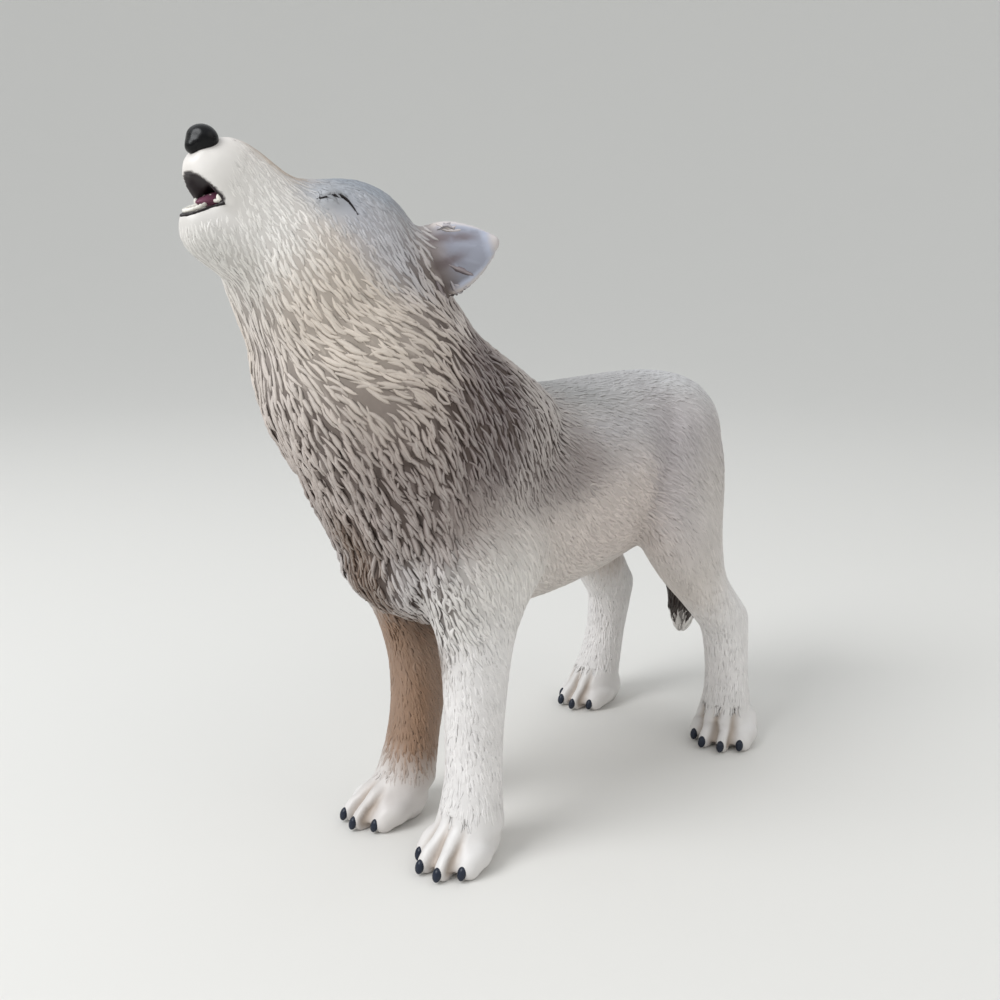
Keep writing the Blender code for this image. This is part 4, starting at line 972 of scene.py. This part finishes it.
# Paints the mouth's inside, the ears' hollows and rims, and the toes' shading
def paintDetails(points, normals, colour):
    for hand in (-1, 1):
        origin, tip, rise, hollow = earFrame(hand)
        offset = points - origin
        along = offset @ tip / wolf["earLength"]
        height = offset @ rise
        depth = offset @ hollow
        ratio = np.abs(height) / earHalf(along, height)
        inEar = ((along > 0.0) & (along < 1.25) & (ratio < 1.6) & (np.abs(depth) < 3.0 * mm)
                 & (offset[:, 0] * hand > 0)) * unit((normals @ hollow) / 0.25 + 0.5)
        colour = overlay(colour, inEar * unit((along - 0.05) / 0.25), "ear")
        colour = overlay(colour, inEar * unit(1.0 - along / 0.35) * 0.7, "earBase")
        place = height / wolf["earHalfHeight"]
        furrow = np.exp(-((place - 0.5 + 0.35 * along) / 0.1) ** 2) * unit((0.8 - along) / 0.3)
        furrow += np.exp(-((place + 0.2 - 0.2 * along) / 0.12) ** 2) * unit((0.6 - along) / 0.3)
        colour = overlay(colour, inEar * np.clip(furrow, 0.0, 0.8), "earFurrow")
        rim = unit((np.maximum(ratio, along + 0.02) - 0.85) / 0.08)
        colour = overlay(colour, inEar * rim * 0.7, "rim")
    colour = overlay(colour, unit(0.75 * toeGrooves(points) / wolf["toeGapDepth"]), "toeShade")
    gap, height = mouthPlace(points)
    inside = unit((0.2 * mm - gap) / (0.1 * mm)) * unit(0.7 - normals @ headUp)
    colour = overlay(colour, unit(2.0 * inside), "mouth")
    return colour


# Adds a node, sets its properties and constants, and links outputs of others to its inputs
def addNode(tree, kind, settings=None, inputs=None, links=None):
    node = tree.nodes.new(kind)
    for name, value in (settings or {}).items():
        setattr(node, name, value)
    for name, value in (inputs or {}).items():
        node.inputs[name].default_value = value
    for name, source in (links or {}).items():
        tree.links.new(source, node.inputs[name])
    return node


def newMaterial(name):
    material = bpy.data.materials.new(name)
    material.use_nodes = True
    tree = material.node_tree
    tree.nodes.clear()
    output = addNode(tree, "ShaderNodeOutputMaterial")
    shader = addNode(tree, "ShaderNodeBsdfPrincipled")
    tree.links.new(shader.outputs["BSDF"], output.inputs["Surface"])
    return material, tree, shader


# The colour and shares of the dark wash and painted shade in the grooves, and of the pale dry-brush and
# painted highlight on the ridges
finish = {
    "washAndShadeColour": "#3d2e26",
    "dryBrushAndHighlightColour": "#f4f0ea",
    "grooveStart": 0.05,
    "grooveShare": 0.95,
    "ridgeShare": 0.3,
    "hairsAcross": 7.0,
    "hairDepth": 0.06 * mm,
    "roughness": 0.45,
}


# Moulded satin vinyl, sprayed in soft fields, darkened in the grooves with wash and painted shade, paled
# on the ridges with dry-brush and painted highlight
def furMaterial():
    material, tree, shader = newMaterial("moulded vinyl, sprayed, washed and dry-brushed")
    base = addNode(tree, "ShaderNodeAttribute", {"attribute_name": "paint"}).outputs["Color"]
    relief = addNode(tree, "ShaderNodeAttribute", {"attribute_name": "relief"}).outputs["Fac"]
    washShadeAndHighlight = addNode(tree, "ShaderNodeAttribute", {"attribute_name": "washShadeAndHighlight"}).outputs["Fac"]
    strand = addNode(tree, "ShaderNodeAttribute", {"attribute_name": "strand"}).outputs["Vector"]

    def math2(operation, first, second=None, third=None, clamp=False):
        node = addNode(tree, "ShaderNodeMath", {"operation": operation, "use_clamp": clamp})
        for socket, value in zip(node.inputs, (first, second, third)):
            if isinstance(value, (int, float)):
                socket.default_value = value
            elif value is not None:
                tree.links.new(value, socket)
        return node.outputs["Value"]

    def mixed(factor, first, second, blend="MIX"):
        node = addNode(tree, "ShaderNodeMix", {"data_type": "RGBA", "blend_type": blend})
        for name, value in ((0, factor), (6, first), (7, second)):
            if isinstance(value, (int, float)):
                node.inputs[name].default_value = value
            elif isinstance(value, (list, tuple, np.ndarray)):
                node.inputs[name].default_value = (*value, 1.0)
            else:
                tree.links.new(value, node.inputs[name])
        return node.outputs[2]

    parts = addNode(tree, "ShaderNodeSeparateXYZ", links={"Vector": strand}).outputs
    hairs = addNode(tree, "ShaderNodeCombineXYZ", links={
        "X": math2("MULTIPLY", parts["X"], 0.6), "Z": parts["Z"],
        "Y": math2("MULTIPLY", parts["Y"], finish["hairsAcross"])}).outputs["Vector"]
    hair = addNode(tree, "ShaderNodeTexNoise", inputs={"Scale": 1.0, "Detail": 1.0},
                   links={"Vector": hairs}).outputs["Fac"]
    coords = addNode(tree, "ShaderNodeTexCoord").outputs["Object"]
    blotch = addNode(tree, "ShaderNodeTexNoise", inputs={"Scale": 260.0, "Detail": 3.0},
                     links={"Vector": coords}).outputs["Fac"]
    # Grooves and hollows darkened with wash and painted shade
    groove = math2("DIVIDE", math2("SUBTRACT", math2("MULTIPLY", relief, -1.0), finish["grooveStart"]),
                   0.7, clamp=True)
    groove = math2("MULTIPLY", groove, math2("ADD", math2("MULTIPLY", blotch, 0.8), 0.6), clamp=True)
    washAndShadeAmount = math2("MULTIPLY", math2("MULTIPLY", groove, washShadeAndHighlight), finish["grooveShare"], clamp=True)
    # Ridges paled with dry-brush and painted highlight
    ridge = math2("MULTIPLY", relief, math2("SUBTRACT", math2("MULTIPLY", hair, 2.6), 0.6, clamp=True),
                  clamp=True)
    ridge = math2("MULTIPLY", math2("MULTIPLY", ridge, washShadeAndHighlight), finish["ridgeShare"], clamp=True)
    tint = math2("ADD", math2("MULTIPLY", blotch, 0.24), 0.88)
    tint = addNode(tree, "ShaderNodeCombineColor",
                   links={"Red": tint, "Green": tint, "Blue": tint}).outputs["Color"]
    colour = mixed(washAndShadeAmount, mixed(1.0, base, tint, "MULTIPLY"), linear(finish["washAndShadeColour"]))
    tree.links.new(mixed(ridge, colour, linear(finish["dryBrushAndHighlightColour"])), shader.inputs["Base Color"])
    gloss = math2("ADD", math2("MULTIPLY", hair, 0.12), finish["roughness"] - 0.06)
    tree.links.new(math2("ADD", math2("MULTIPLY", washAndShadeAmount, 0.15), gloss), shader.inputs["Roughness"])
    bump = addNode(tree, "ShaderNodeBump", inputs={"Strength": 0.6, "Distance": finish["hairDepth"]},
                   links={"Height": math2("MULTIPLY", hair, math2("ADD", washShadeAndHighlight, 0.15, clamp=True))})
    tree.links.new(bump.outputs["Normal"], shader.inputs["Normal"])
    return material


def addAttribute(mesh, name, kind, values):
    attribute = mesh.attributes.new(name, kind, "POINT")
    field = {"FLOAT": "value", "FLOAT_VECTOR": "vector", "FLOAT_COLOR": "color"}[kind]
    attribute.data.foreach_set(field, np.ascontiguousarray(values, dtype=np.float32).ravel())


# How strongly the grooves get the dark wash and painted shade and the ridges the pale dry-brush and
# painted highlight, 0 where the moulding is bare
def washShadeAndHighlightAt(smooth, facts, nearest):
    bare = facts["bare"][nearest] * unit(mouthPlace(smooth)[0] / (0.4 * mm) - 0.5)
    bare = bare * (1.0 - earRims(smooth, facts["normals"][nearest], True))
    return facts["lock"][nearest, 6] * bare


def ridePiece(obj, name):
    obj.name = name
    obj.data.name = name
    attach(obj, "root")
    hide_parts("wolf_figure")
    return obj


def paintedPiece(name, mesh, colour, washShadeAndHighlight, relief, strand, material):
    addAttribute(mesh, "paint", "FLOAT_COLOR", np.hstack([colour, np.ones((len(colour), 1))]))
    addAttribute(mesh, "washShadeAndHighlight", "FLOAT", washShadeAndHighlight)
    addAttribute(mesh, "relief", "FLOAT", np.clip(relief, -1.0, 1.0))
    addAttribute(mesh, "strand", "FLOAT_VECTOR", strand)
    mesh.shade_smooth()
    mesh.materials.clear()
    mesh.materials.append(material)
    return ridePiece(placed(name, mesh), name)


# The figure's skin, with its medium locks carved in, painted point by point
def buildWolf():
    mesh, facts = carvedSkin()
    facts["tree"] = treeOf(facts["carved"])
    facts["material"] = furMaterial()
    points, triangles, _ = meshArrays(mesh)
    nearest = nearestPoints(points, facts["tree"])
    smooth = facts["smooth"][nearest]
    colour = paintDetails(smooth, facts["normals"][nearest], paintAt(smooth))
    # The skin between the strokes is darkened with wash and painted shade, more so in its hollows
    relief = -hair["underneath"] - 0.5 * facts["hollow"][nearest]
    low, high = (np.array(corner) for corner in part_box("wolf_figure"))
    shift = (low + high) / 2 - (points.min(axis=0) + points.max(axis=0)) / 2
    shift[2] = 0.0
    mesh.transform(Matrix.Translation(Vector(shift)))
    piece = paintedPiece("wolfSkin", mesh, colour, washShadeAndHighlightAt(smooth, facts, nearest), relief,
                         smooth / mm * [1.0, 0.2, 1.0], facts["material"])
    return piece, shift, facts


# Fine strokes of the coat, each a closed sliver that rises out of the skin
hair = {
    "stations": (0.0, 0.2, 0.42, 0.64, 0.86, 1.0),
    "widths": (0.0, 0.55, 0.95, 1.0, 0.6, 0.0),
    "rises": (-0.9, 0.1, 0.7, 1.0, 0.8, -0.1),
    "sink": 0.02 * mm,
    "gapAlong": 0.42,
    "gapAcross": 0.5,
    "candidates": 0.6,
    "bend": 0.35,
    "stray": 0.09,
    "followLock": 0.75,
    "tintSpread": 0.05,
    "underneath": 0.75,
    "headEnd": 24.0 * mm,
    "maneEnd": -12.0 * mm,
    "maneBottom": wolf["bodyHeight"] - 12.0 * mm,
}


# Where fine strokes grow: 0 on the nose, lids, mouth, toes and ear rims, 1 in the coat
def hairShare(smooth, facts):
    share = unit((smooth[:, 2] / wolf["pawHeight"] - 0.85) / 0.5)
    share *= unit((lengths(smooth - nose) - 3.2 * mm) / (2.0 * mm))
    share *= unit(mouthPlace(smooth)[0] / (0.5 * mm) - 1.0)
    for hand in (-1, 1):
        gap = smooth - eyePoint(hand)
        gap = lengths(gap) / wolf["eyeRadius"]
        share *= unit((gap - 0.7) / 0.4)
    for hand in (-1, 1):
        origin, tip, rise, hollow = earFrame(hand)
        offset = smooth - origin
        along = offset @ tip / wolf["earLength"]
        near = ((np.abs(offset @ hollow) < 3.0 * mm) & (along < 1.4)
                & (np.abs(offset @ rise) < 1.4 * wolf["earHalfHeight"]))
        share *= 1.0 - unit((along - 0.1) / 0.15) * near
    return share


# Marches along the coat from each root and returns the places, normals and sideways directions
def strokePaths(facts, roots, length, turn, bend):
    points, normals, lie = facts["carved"], facts["normals"], facts["lie"]
    place, index = points[roots], roots
    rows = []
    stations = hair["stations"]
    for station, following in zip(stations, (*stations[1:], 1.0)):
        normal = normals[index]
        place = place - np.sum((place - points[index]) * normal, axis=1, keepdims=True) * normal
        angle = turn + bend * math.cos(math.pi * station)
        aside = np.cross(normal, lie[index])
        ahead = np.cos(angle)[:, None] * lie[index] + np.sin(angle)[:, None] * aside
        ahead /= np.maximum(np.linalg.norm(ahead, axis=1, keepdims=True), 1e-9)
        rows.append((place, normal, np.cross(normal, ahead)))
        place = place + (following - station) * length[:, None] * ahead
        index = nearestPoints(place, facts["tree"])
    return rows


def buildHair(facts, shift):
    lock, locks = facts["lock"], facts["locks"]
    share = hairShare(facts["smooth"], facts)
    grown = np.flatnonzero((share > 0.4) & (lock[:, 5] > 0.02 * mm))
    points, normals, lie = facts["carved"][grown], facts["normals"][grown], facts["lie"][grown]
    random = np.random.default_rng(wolf["seed"] + 2)
    roots = grown[lockRoots(points, lie, np.cross(normals, lie), lock[grown, 3], lock[grown, 4], random,
                            hair["candidates"], hair["gapAlong"], hair["gapAcross"])]
    count = len(roots)
    report(f"{count} strokes rooted")
    share = share[roots]
    length = lock[roots, 3] * random.uniform(0.7, 1.3, count)
    width = 0.5 * lock[roots, 4] * random.uniform(0.8, 1.25, count)
    height = lock[roots, 5] * random.uniform(0.75, 1.25, count) * share
    normal, lieHere = facts["normals"][roots], facts["lie"][roots]
    owner = np.maximum(facts["winner"][roots], 0)
    swing = np.arctan2(dots(locks["along"][owner], np.cross(normal, lieHere)),
                       dots(locks["along"][owner], lieHere))
    swing = np.where(facts["winner"][roots] < 0, 0.0, swing)
    turn = hair["followLock"] * swing + random.normal(0.0, hair["stray"], count)
    rows = strokePaths(facts, roots, length, turn, random.normal(0.0, hair["bend"], count))
    report("strokes laid")
    corners, relief, strand = [], [], []
    last = len(rows) - 1
    seeds = random.uniform(0.0, 90.0, count)
    # Each stroke's crown gets the pale dry-brush and painted highlight, its edges and root the dark wash
    # and painted shade
    for step, (place, normal, across) in enumerate(rows):
        rise = (hair["rises"][step] * height)[:, None]
        crown = place + rise * normal
        reach = hair["stations"][step] * length / mm
        if step in (0, last):
            corners.append(place - hair["sink"] * normal)
            relief.append(np.full(count, -1.0 if step == 0 else 0.0))
            strand.append(np.stack([reach, 0.0 * length, seeds], axis=1))
            continue
        wide = (hair["widths"][step] * width)[:, None]
        for hand in (-1, 0, 1):
            corners.append(crown if hand == 0 else place + hand * wide * across - hair["sink"] * normal)
            relief.append(np.full(count, 1.0 if hand == 0 else -1.0) * (0.6 if step == 1 else 1.0))
            strand.append(np.stack([reach, hand * width / mm, seeds], axis=1))
    corners, strand = np.stack(corners, axis=1), np.stack(strand, axis=1)
    # Strokes in hollows get more of the dark wash and painted shade
    relief = np.stack(relief, axis=1) - 0.7 * facts["hollow"][roots][:, None]
    faces = []
    for hand in range(3):
        first, second = 1 + hand, 1 + (hand + 1) % 3
        faces.append((0, second, first, -1))
        for ring in range(last - 2):
            low, high = 3 * ring, 3 * ring + 3
            faces.append((first + low, second + low, second + high, first + high))
        faces.append((first + 3 * (last - 2), second + 3 * (last - 2), 3 * (last - 1) + 1, -1))
    smooth = facts["smooth"][roots]
    colour = paintDetails(smooth, facts["normals"][roots], paintAt(smooth))
    colour = colour * random.normal(1.0, hair["tintSpread"], count)[:, None]
    washShadeAndHighlight = washShadeAndHighlightAt(smooth, facts, roots)
    along = (smooth - nose) @ headAxis
    region = np.where(along < hair["headEnd"], 0, np.where(smooth[:, 1] < hair["maneEnd"], 1, 2))
    region = np.where((region == 1) & (smooth[:, 2] < hair["maneBottom"]), 2, region)
    region = np.where((region > 0) & (smooth[:, 0] < 0.0), region + 2, region)
    pieces = []
    names = ("headHair", "maneHairLeft", "coatHairLeft", "maneHairRight", "coatHairRight")
    for number, name in enumerate(names):
        chosen = np.flatnonzero(region == number)
        looks = [values[chosen] for values in (colour, washShadeAndHighlight, relief, strand)]
        pieces.append(hairPiece(name, corners[chosen], faces, *looks, facts["material"], shift))
    return pieces


def hairPiece(name, corners, faces, colour, washShadeAndHighlight, relief, strand, material, shift):
    count, each = corners.shape[:2]
    lists = []
    for face in faces:
        face = [corner for corner in face if corner >= 0]
        lists += (np.arange(count)[:, None] * each + np.array(face)).tolist()
    mesh = bpy.data.meshes.new(name)
    mesh.from_pydata((corners.reshape(-1, 3) + shift).tolist(), [], lists)
    return paintedPiece(name, mesh, np.repeat(unit(colour), each, axis=0), np.repeat(washShadeAndHighlight, each),
                        relief, strand, material)


skinPiece, wolfShift, skinFacts = buildWolf()
report(f"wolf skin shifted by {[round(float(value) / mm, 3) for value in wolfShift]} mm")
for piece in buildHair(skinFacts, wolfShift):
    report(f"{piece.name}, {len(piece.data.polygons)} faces")

# Nose, mouth, eyes and claws
trim = {
    "noseColour": "#050507",
    "noseRoughness": 0.26,
    "nostrilDepth": 0.07 * mm,
    "nostrilRadius": 0.42 * mm,
    "toothColour": "#ece9e0",
    "toothHeight": 0.32 * mm,
    "toothRadius": 0.2 * mm,
    "tongueColour": "#744659",
    "tongueHalfWidth": 1.2 * mm,
    "clawColour": "#272c38",
    "lidColour": "#241f20",
    "lidRadius": 0.17 * mm,
    "lipRadius": 0.15 * mm,
    "noseGrain": 0.09 * mm,
    "noseRounds": 14,
    "toothSides": 16,
    "lineSides": 10,
    "lashes": (-0.78, -0.6, -0.42, -0.2, 0.35, 0.7),
    "specular": 0.22,
}


# A brushed enamel paint: a little uneven in tone, with brush marks in its gloss
def glossMaterial(name, colour, roughness, mottle=0.15):
    material, tree, shader = newMaterial(name)
    coords = addNode(tree, "ShaderNodeTexCoord")
    cloud = addNode(tree, "ShaderNodeTexNoise", inputs={"Scale": 900.0, "Detail": 3.0},
                    links={"Vector": coords.outputs["Object"]})
    dark = linear(colour) * (1.0 - mottle)
    pale = np.minimum(linear(colour) * (1.0 + mottle) + 0.001, 1.0)
    mix = addNode(tree, "ShaderNodeMix", {"data_type": "RGBA"}, {6: (*dark, 1.0), 7: (*pale, 1.0)},
                  {0: cloud.outputs["Fac"]})
    gloss = addNode(tree, "ShaderNodeMapRange",
                    inputs={"To Min": roughness - 0.05, "To Max": roughness + 0.1},
                    links={"Value": cloud.outputs["Fac"]})
    bump = addNode(tree, "ShaderNodeBump", inputs={"Strength": 0.35, "Distance": 0.03 * mm},
                   links={"Height": cloud.outputs["Fac"]})
    tree.links.new(mix.outputs[2], shader.inputs["Base Color"])
    tree.links.new(gloss.outputs["Result"], shader.inputs["Roughness"])
    tree.links.new(bump.outputs["Normal"], shader.inputs["Normal"])
    shader.inputs["Specular IOR Level"].default_value = trim["specular"]
    return material


def finishPiece(obj, name, material):
    obj.data.transform(Matrix.Translation(Vector(wolfShift)))
    obj.data.materials.clear()
    obj.data.materials.append(material)
    obj.data.shade_smooth()
    return ridePiece(obj, name)


def buildNose():
    pad = wolf["nosePadHalfWidth"]
    shape = bmesh.new()
    ball(shape, headPoint(0.0, 0.12 * pad, 1.1 * pad), (0.98 * pad, 0.76 * pad, 0.74 * pad),
         side, headAxis, headUp)
    ball(shape, headPoint(0.0, 0.08 * pad, 0.75 * pad), (0.78 * pad, 0.58 * pad, 0.5 * pad),
         side, headAxis, headUp)
    ball(shape, headPoint(0.0, 0.0, 0.5 * pad), (0.5 * pad, 0.4 * pad, 0.4 * pad), side, headAxis, headUp)
    lump = objectFrom(shape, "noseLump")
    addFuse(lump, trim["noseGrain"])
    mesh = evaluatedMesh(lump)
    bpy.data.objects.remove(lump)
    points, triangles, edges = meshArrays(mesh)
    points = relax(points, triangles, edges, trim["noseRounds"])
    normals = pointNormals(points, triangles)
    dent = np.zeros(len(points))
    for hand in (-1, 1):
        nostril = headPoint(hand * 0.5 * pad, -0.45 * pad, 0.75 * pad)
        gap = lengths(points - nostril) / trim["nostrilRadius"]
        dent = np.maximum(dent, np.exp(-gap ** 2) * trim["nostrilDepth"])
    points = points - dent[:, None] * normals
    points = relax(points, triangles, edges, 4)
    mesh.vertices.foreach_set("co", points.astype(np.float32).ravel())
    enamel = glossMaterial("brushed gloss enamel, black", trim["noseColour"], trim["noseRoughness"])
    return finishPiece(placed("nosePad", mesh), "nosePad", enamel)


# A rounded tooth: a lofted peg that narrows to a blunt tip
def peg(shape, root, direction, radius, height):
    direction = direction / np.linalg.norm(direction)
    first = np.cross(direction, side)
    first = first / np.linalg.norm(first) if np.linalg.norm(first) > 0.1 else back
    second = np.cross(direction, first)
    lump = bmesh.new()
    rings = []
    for share, wide in ((0.0, 1.0), (0.25, 0.98), (0.5, 0.86), (0.72, 0.66), (0.88, 0.42), (0.97, 0.18)):
        middle = root + direction * height * share
        rings.append([lump.verts.new(middle + radius * wide * (math.cos(turn) * first
                                                              + math.sin(turn) * second))
                      for turn in turns(trim["toothSides"])])
    closeRings(lump, rings)
    pressOn(shape, lump)


# Places on the lower jaw's outer side, just under its edge, seen round from the mouth's corner
def lipPath(tree, angles, sink, lower=0.0):
    places = []
    for angle in angles:
        way = math.sin(angle) * side - math.cos(angle) * mouthAlong
        start = mouthCorner + 12.0 * mm * way - (0.1 * mm + lower) * mouthRise + wolfShift
        hit = tree.ray_cast(Vector(start), Vector(-way))[0]
        places.append(np.array(hit) - sink * way if hit else start - 9.0 * mm * way)
    places = np.array(places)
    for _ in range(3):
        places[1:-1] = 0.5 * places[1:-1] + 0.25 * (places[:-2] + places[2:])
    return places


def skinTree():
    return BVHTree.FromObject(skinPiece, bpy.context.evaluated_depsgraph_get())


def buildTeeth():
    tree = skinTree()
    shape = bmesh.new()
    random = np.random.default_rng(9)
    height, radius = trim["toothHeight"], trim["toothRadius"]
    angles = [math.radians(turn) for turn in np.linspace(-84, 84, 57)]
    gum = lipPath(tree, angles, 1.3 * radius) + 0.9 * radius * mouthRise
    tube(shape, list(gum), [radius * random.uniform(0.85, 1.1) for _ in angles])
    for angle, root in zip(angles[::2], gum[::2]):
        grown = 0.7 + 1.3 * unit((abs(angle) - 0.75) / 0.4)
        way = math.sin(angle) * side - math.cos(angle) * mouthAlong
        peg(shape, root - 0.2 * grown * radius * way, mouthRise, radius * (0.75 + 0.35 * grown),
            grown * height * random.uniform(0.8, 1.15))
    shape.transform(Matrix.Translation(Vector(-wolfShift)))
    return finishPiece(objectFrom(shape, "teeth"), "teeth",
                       glossMaterial("brushed gloss enamel, ivory", trim["toothColour"], 0.25, 0.05))


def buildTongue():
    wide = trim["tongueHalfWidth"]
    shape = bmesh.new()
    bmesh.ops.create_uvsphere(shape, u_segments=48, v_segments=32, radius=1.0)
    middle = mouthCorner + 0.35 * mm * mouthAlong + 0.15 * mm * mouthRise
    for vert in shape.verts:
        x, y, z = vert.co
        groove = 0.22 * math.exp(-(x / 0.16) ** 2) * max(z, 0.0)
        lift = 0.35 * max(-y - 0.2, 0.0) ** 1.5
        vert.co = (middle + x * wide * (1.0 - 0.25 * max(-y, 0.0)) * side + y * 1.55 * wide * mouthAlong
                   + (0.5 * z * (1.0 - 0.2 * y * y) - groove + lift) * wide * mouthRise)
    return finishPiece(objectFrom(shape, "tongue"), "tongue",
                       glossMaterial("brushed gloss enamel, mauve pink", trim["tongueColour"], 0.28))


def buildClaws():
    shape = bmesh.new()
    radius, claw = wolf["toeRadius"], wolf["clawRadius"]
    for x, y, turn, slim in paws:
        forward, across = pawFrame(turn)
        for sideways, share in toes:
            tip = (np.array([x, y, 0.0]) + sideways * wolf["pawHalfWidth"] * slim * across
                   + share * wolf["toeReach"] * forward)
            lean = 0.35 * forward - up
            lean /= np.linalg.norm(lean)
            ball(shape, tip + 0.98 * radius * forward + 0.78 * radius * up,
                 (0.85 * claw, 0.75 * claw, 1.3 * claw), across, np.cross(lean, across), lean, 20)
    return finishPiece(objectFrom(shape, "claws"), "claws",
                       glossMaterial("brushed gloss enamel, blue black", trim["clawColour"], 0.2))


# A tapered round line through the points of a path
def tube(shape, path, radii):
    path = np.asarray(path)
    tangents = np.gradient(path, axis=0)
    rings = []
    for point, tangent, radius in zip(path, tangents, radii):
        tangent = tangent / np.linalg.norm(tangent)
        first = np.cross(tangent, up)
        first /= np.linalg.norm(first)
        second = np.cross(tangent, first)
        rings.append([shape.verts.new(point + radius * (math.cos(turn) * first + math.sin(turn) * second))
                      for turn in turns(trim["lineSides"])])
    closeRings(shape, rings)


# The nearest place on the skin along a direction, or the place itself
def skinAt(tree, place, direction):
    start = Vector(place) - 8.0 * mm * Vector(direction)
    hit = tree.ray_cast(start, Vector(direction), 14.0 * mm)[0]
    return np.array(hit) if hit is not None else np.asarray(place)


# The dark creases between the closed lids, with short lashes, and the dark edge of the lower lip
def buildLids():
    tree = skinTree()
    shape = bmesh.new()
    random = np.random.default_rng(5)
    for hand in (-1, 1):
        path, radii = [], []
        for share in np.linspace(-0.85, 0.85, 41):
            path.append(skinAt(tree, eyePoint(hand, share, lidRise(share)) + wolfShift, -hand * side))
            radii.append(trim["lidRadius"] * (0.3 + 0.7 * math.cos(0.5 * math.pi * share / 0.9))
                         * random.uniform(0.8, 1.15))
        tube(shape, path, radii)
        for share in trim["lashes"]:
            lash = []
            for step in np.linspace(0.0, 1.0, 6):
                rise = lidRise(share) + (0.17 if share < 0.2 else -0.15) * step
                place = eyePoint(hand, share + 0.16 * step * share, rise) + wolfShift
                lash.append(skinAt(tree, place, -hand * side))
            tube(shape, lash, [0.45 * trim["lidRadius"] * (1.05 - step) for step in np.linspace(0, 1, 6)])
    angles = [math.radians(turn) for turn in np.linspace(-88, 88, 61)]
    lip = lipPath(tree, angles, 0.3 * trim["lipRadius"], trim["lipRadius"])
    tube(shape, list(lip), [trim["lipRadius"] * random.uniform(0.75, 1.15) for _ in angles])
    shape.transform(Matrix.Translation(Vector(-wolfShift)))
    return finishPiece(objectFrom(shape, "inkLines"), "inkLines",
                       glossMaterial("fine brushed enamel, brown black", trim["lidColour"], 0.4))


for build in (buildNose, buildTeeth, buildTongue, buildClaws, buildLids):
    piece = build()
    report(f"{piece.name}, {len(piece.data.polygons)} faces")

# The studio
studio = {
    "floorColour": "#dcdad6",
    "floorReach": 0.55,
    "backdropReach": 2.2,
    "backdropHeight": 1.3,
    "worldColour": "#eef2f5",
    "worldStrength": 0.9,
    "backgroundColour": "#e6e7e6",
    "keyPower": 2.3,
    "keySize": 0.35,
    "keyPlace": (-0.10, -0.42, 0.42),
    "keyColour": "#fbfdff",
    "fillPower": 0.35,
    "fillSize": 0.5,
    "fillPlace": (0.45, 0.10, 0.35),
    "fillColour": "#fffaf4",
    "lampTarget": (0.0, 0.0, 0.045),
    "floorSides": 96,
    "floorRoughness": 0.85,
}
cameraView = {
    "place": (88.87 * mm, -98.46 * mm, 68.67 * mm),
    "turn": (78.69, 0.0, 43.38),
    "lens": 36.0,
    "sensor": 36.0,
}


# A round paper sweep: flat under the figure, then curving up all round
def buildFloor():
    shape = bmesh.new()
    run = studio["backdropReach"] - studio["floorReach"]
    profile = [(0.0, 0.0), (0.5 * studio["floorReach"], 0.0), (studio["floorReach"], 0.0)]
    profile += [(studio["floorReach"] + run * math.sin(bend),
                 studio["backdropHeight"] * (1.0 - math.cos(bend)))
                for bend in np.linspace(0.0, 0.5 * math.pi, 25)[1:]]
    rings = [[shape.verts.new((reach * math.cos(turn), reach * math.sin(turn), height))
              for turn in turns(studio["floorSides"])]
             for reach, height in profile[1:]]
    shape.faces.new(rings[0])
    for ring, following in zip(rings, rings[1:]):
        for j in range(studio["floorSides"]):
            k = (j + 1) % studio["floorSides"]
            shape.faces.new((ring[j], following[j], following[k], ring[k]))
    floor = objectFrom(shape, "studioFloor")
    floor.data.shade_smooth()
    material, tree, shader = newMaterial("matt studio paper")
    shader.inputs["Base Color"].default_value = (*linear(studio["floorColour"]), 1.0)
    shader.inputs["Roughness"].default_value = studio["floorRoughness"]
    floor.data.materials.append(material)


def buildWorld():
    world = bpy.data.worlds.new("studioWorld")
    world.use_nodes = True
    tree = world.node_tree
    tree.nodes.clear()
    rays = addNode(tree, "ShaderNodeLightPath")
    shown = addNode(tree, "ShaderNodeBackground",
                    inputs={"Color": (*linear(studio["backgroundColour"]), 1.0), "Strength": 1.0})
    lit = addNode(tree, "ShaderNodeBackground",
                  inputs={"Color": (*linear(studio["worldColour"]), 1.0),
                          "Strength": studio["worldStrength"]})
    mix = addNode(tree, "ShaderNodeMixShader", links={0: rays.outputs["Is Camera Ray"],
                                                      1: lit.outputs["Background"],
                                                      2: shown.outputs["Background"]})
    output = addNode(tree, "ShaderNodeOutputWorld")
    tree.links.new(mix.outputs["Shader"], output.inputs["Surface"])
    bpy.context.scene.world = world


def buildLamp(name):
    lamp = bpy.data.lights.new(name + "Lamp", "AREA")
    lamp.shape = "DISK"
    lamp.size = studio[name + "Size"]
    lamp.energy = studio[name + "Power"]
    lamp.color = linear(studio[name + "Colour"])
    obj = placed(name + "Lamp", lamp)
    obj.location = studio[name + "Place"]
    way = Vector(studio["lampTarget"]) - Vector(studio[name + "Place"])
    obj.rotation_euler = way.to_track_quat("-Z", "Y").to_euler()


def buildCamera():
    data = bpy.data.cameras.new("view")
    data.lens = cameraView["lens"]
    data.sensor_width = cameraView["sensor"]
    data.clip_start = 0.005
    camera = placed("view", data)
    camera.location = cameraView["place"]
    camera.rotation_euler = [math.radians(angle) for angle in cameraView["turn"]]
    bpy.context.scene.camera = camera


buildFloor()
buildWorld()
for lampName in ("key", "fill"):
    buildLamp(lampName)
buildCamera()
bpy.context.scene.view_settings.view_transform = "Standard"
report("studio")
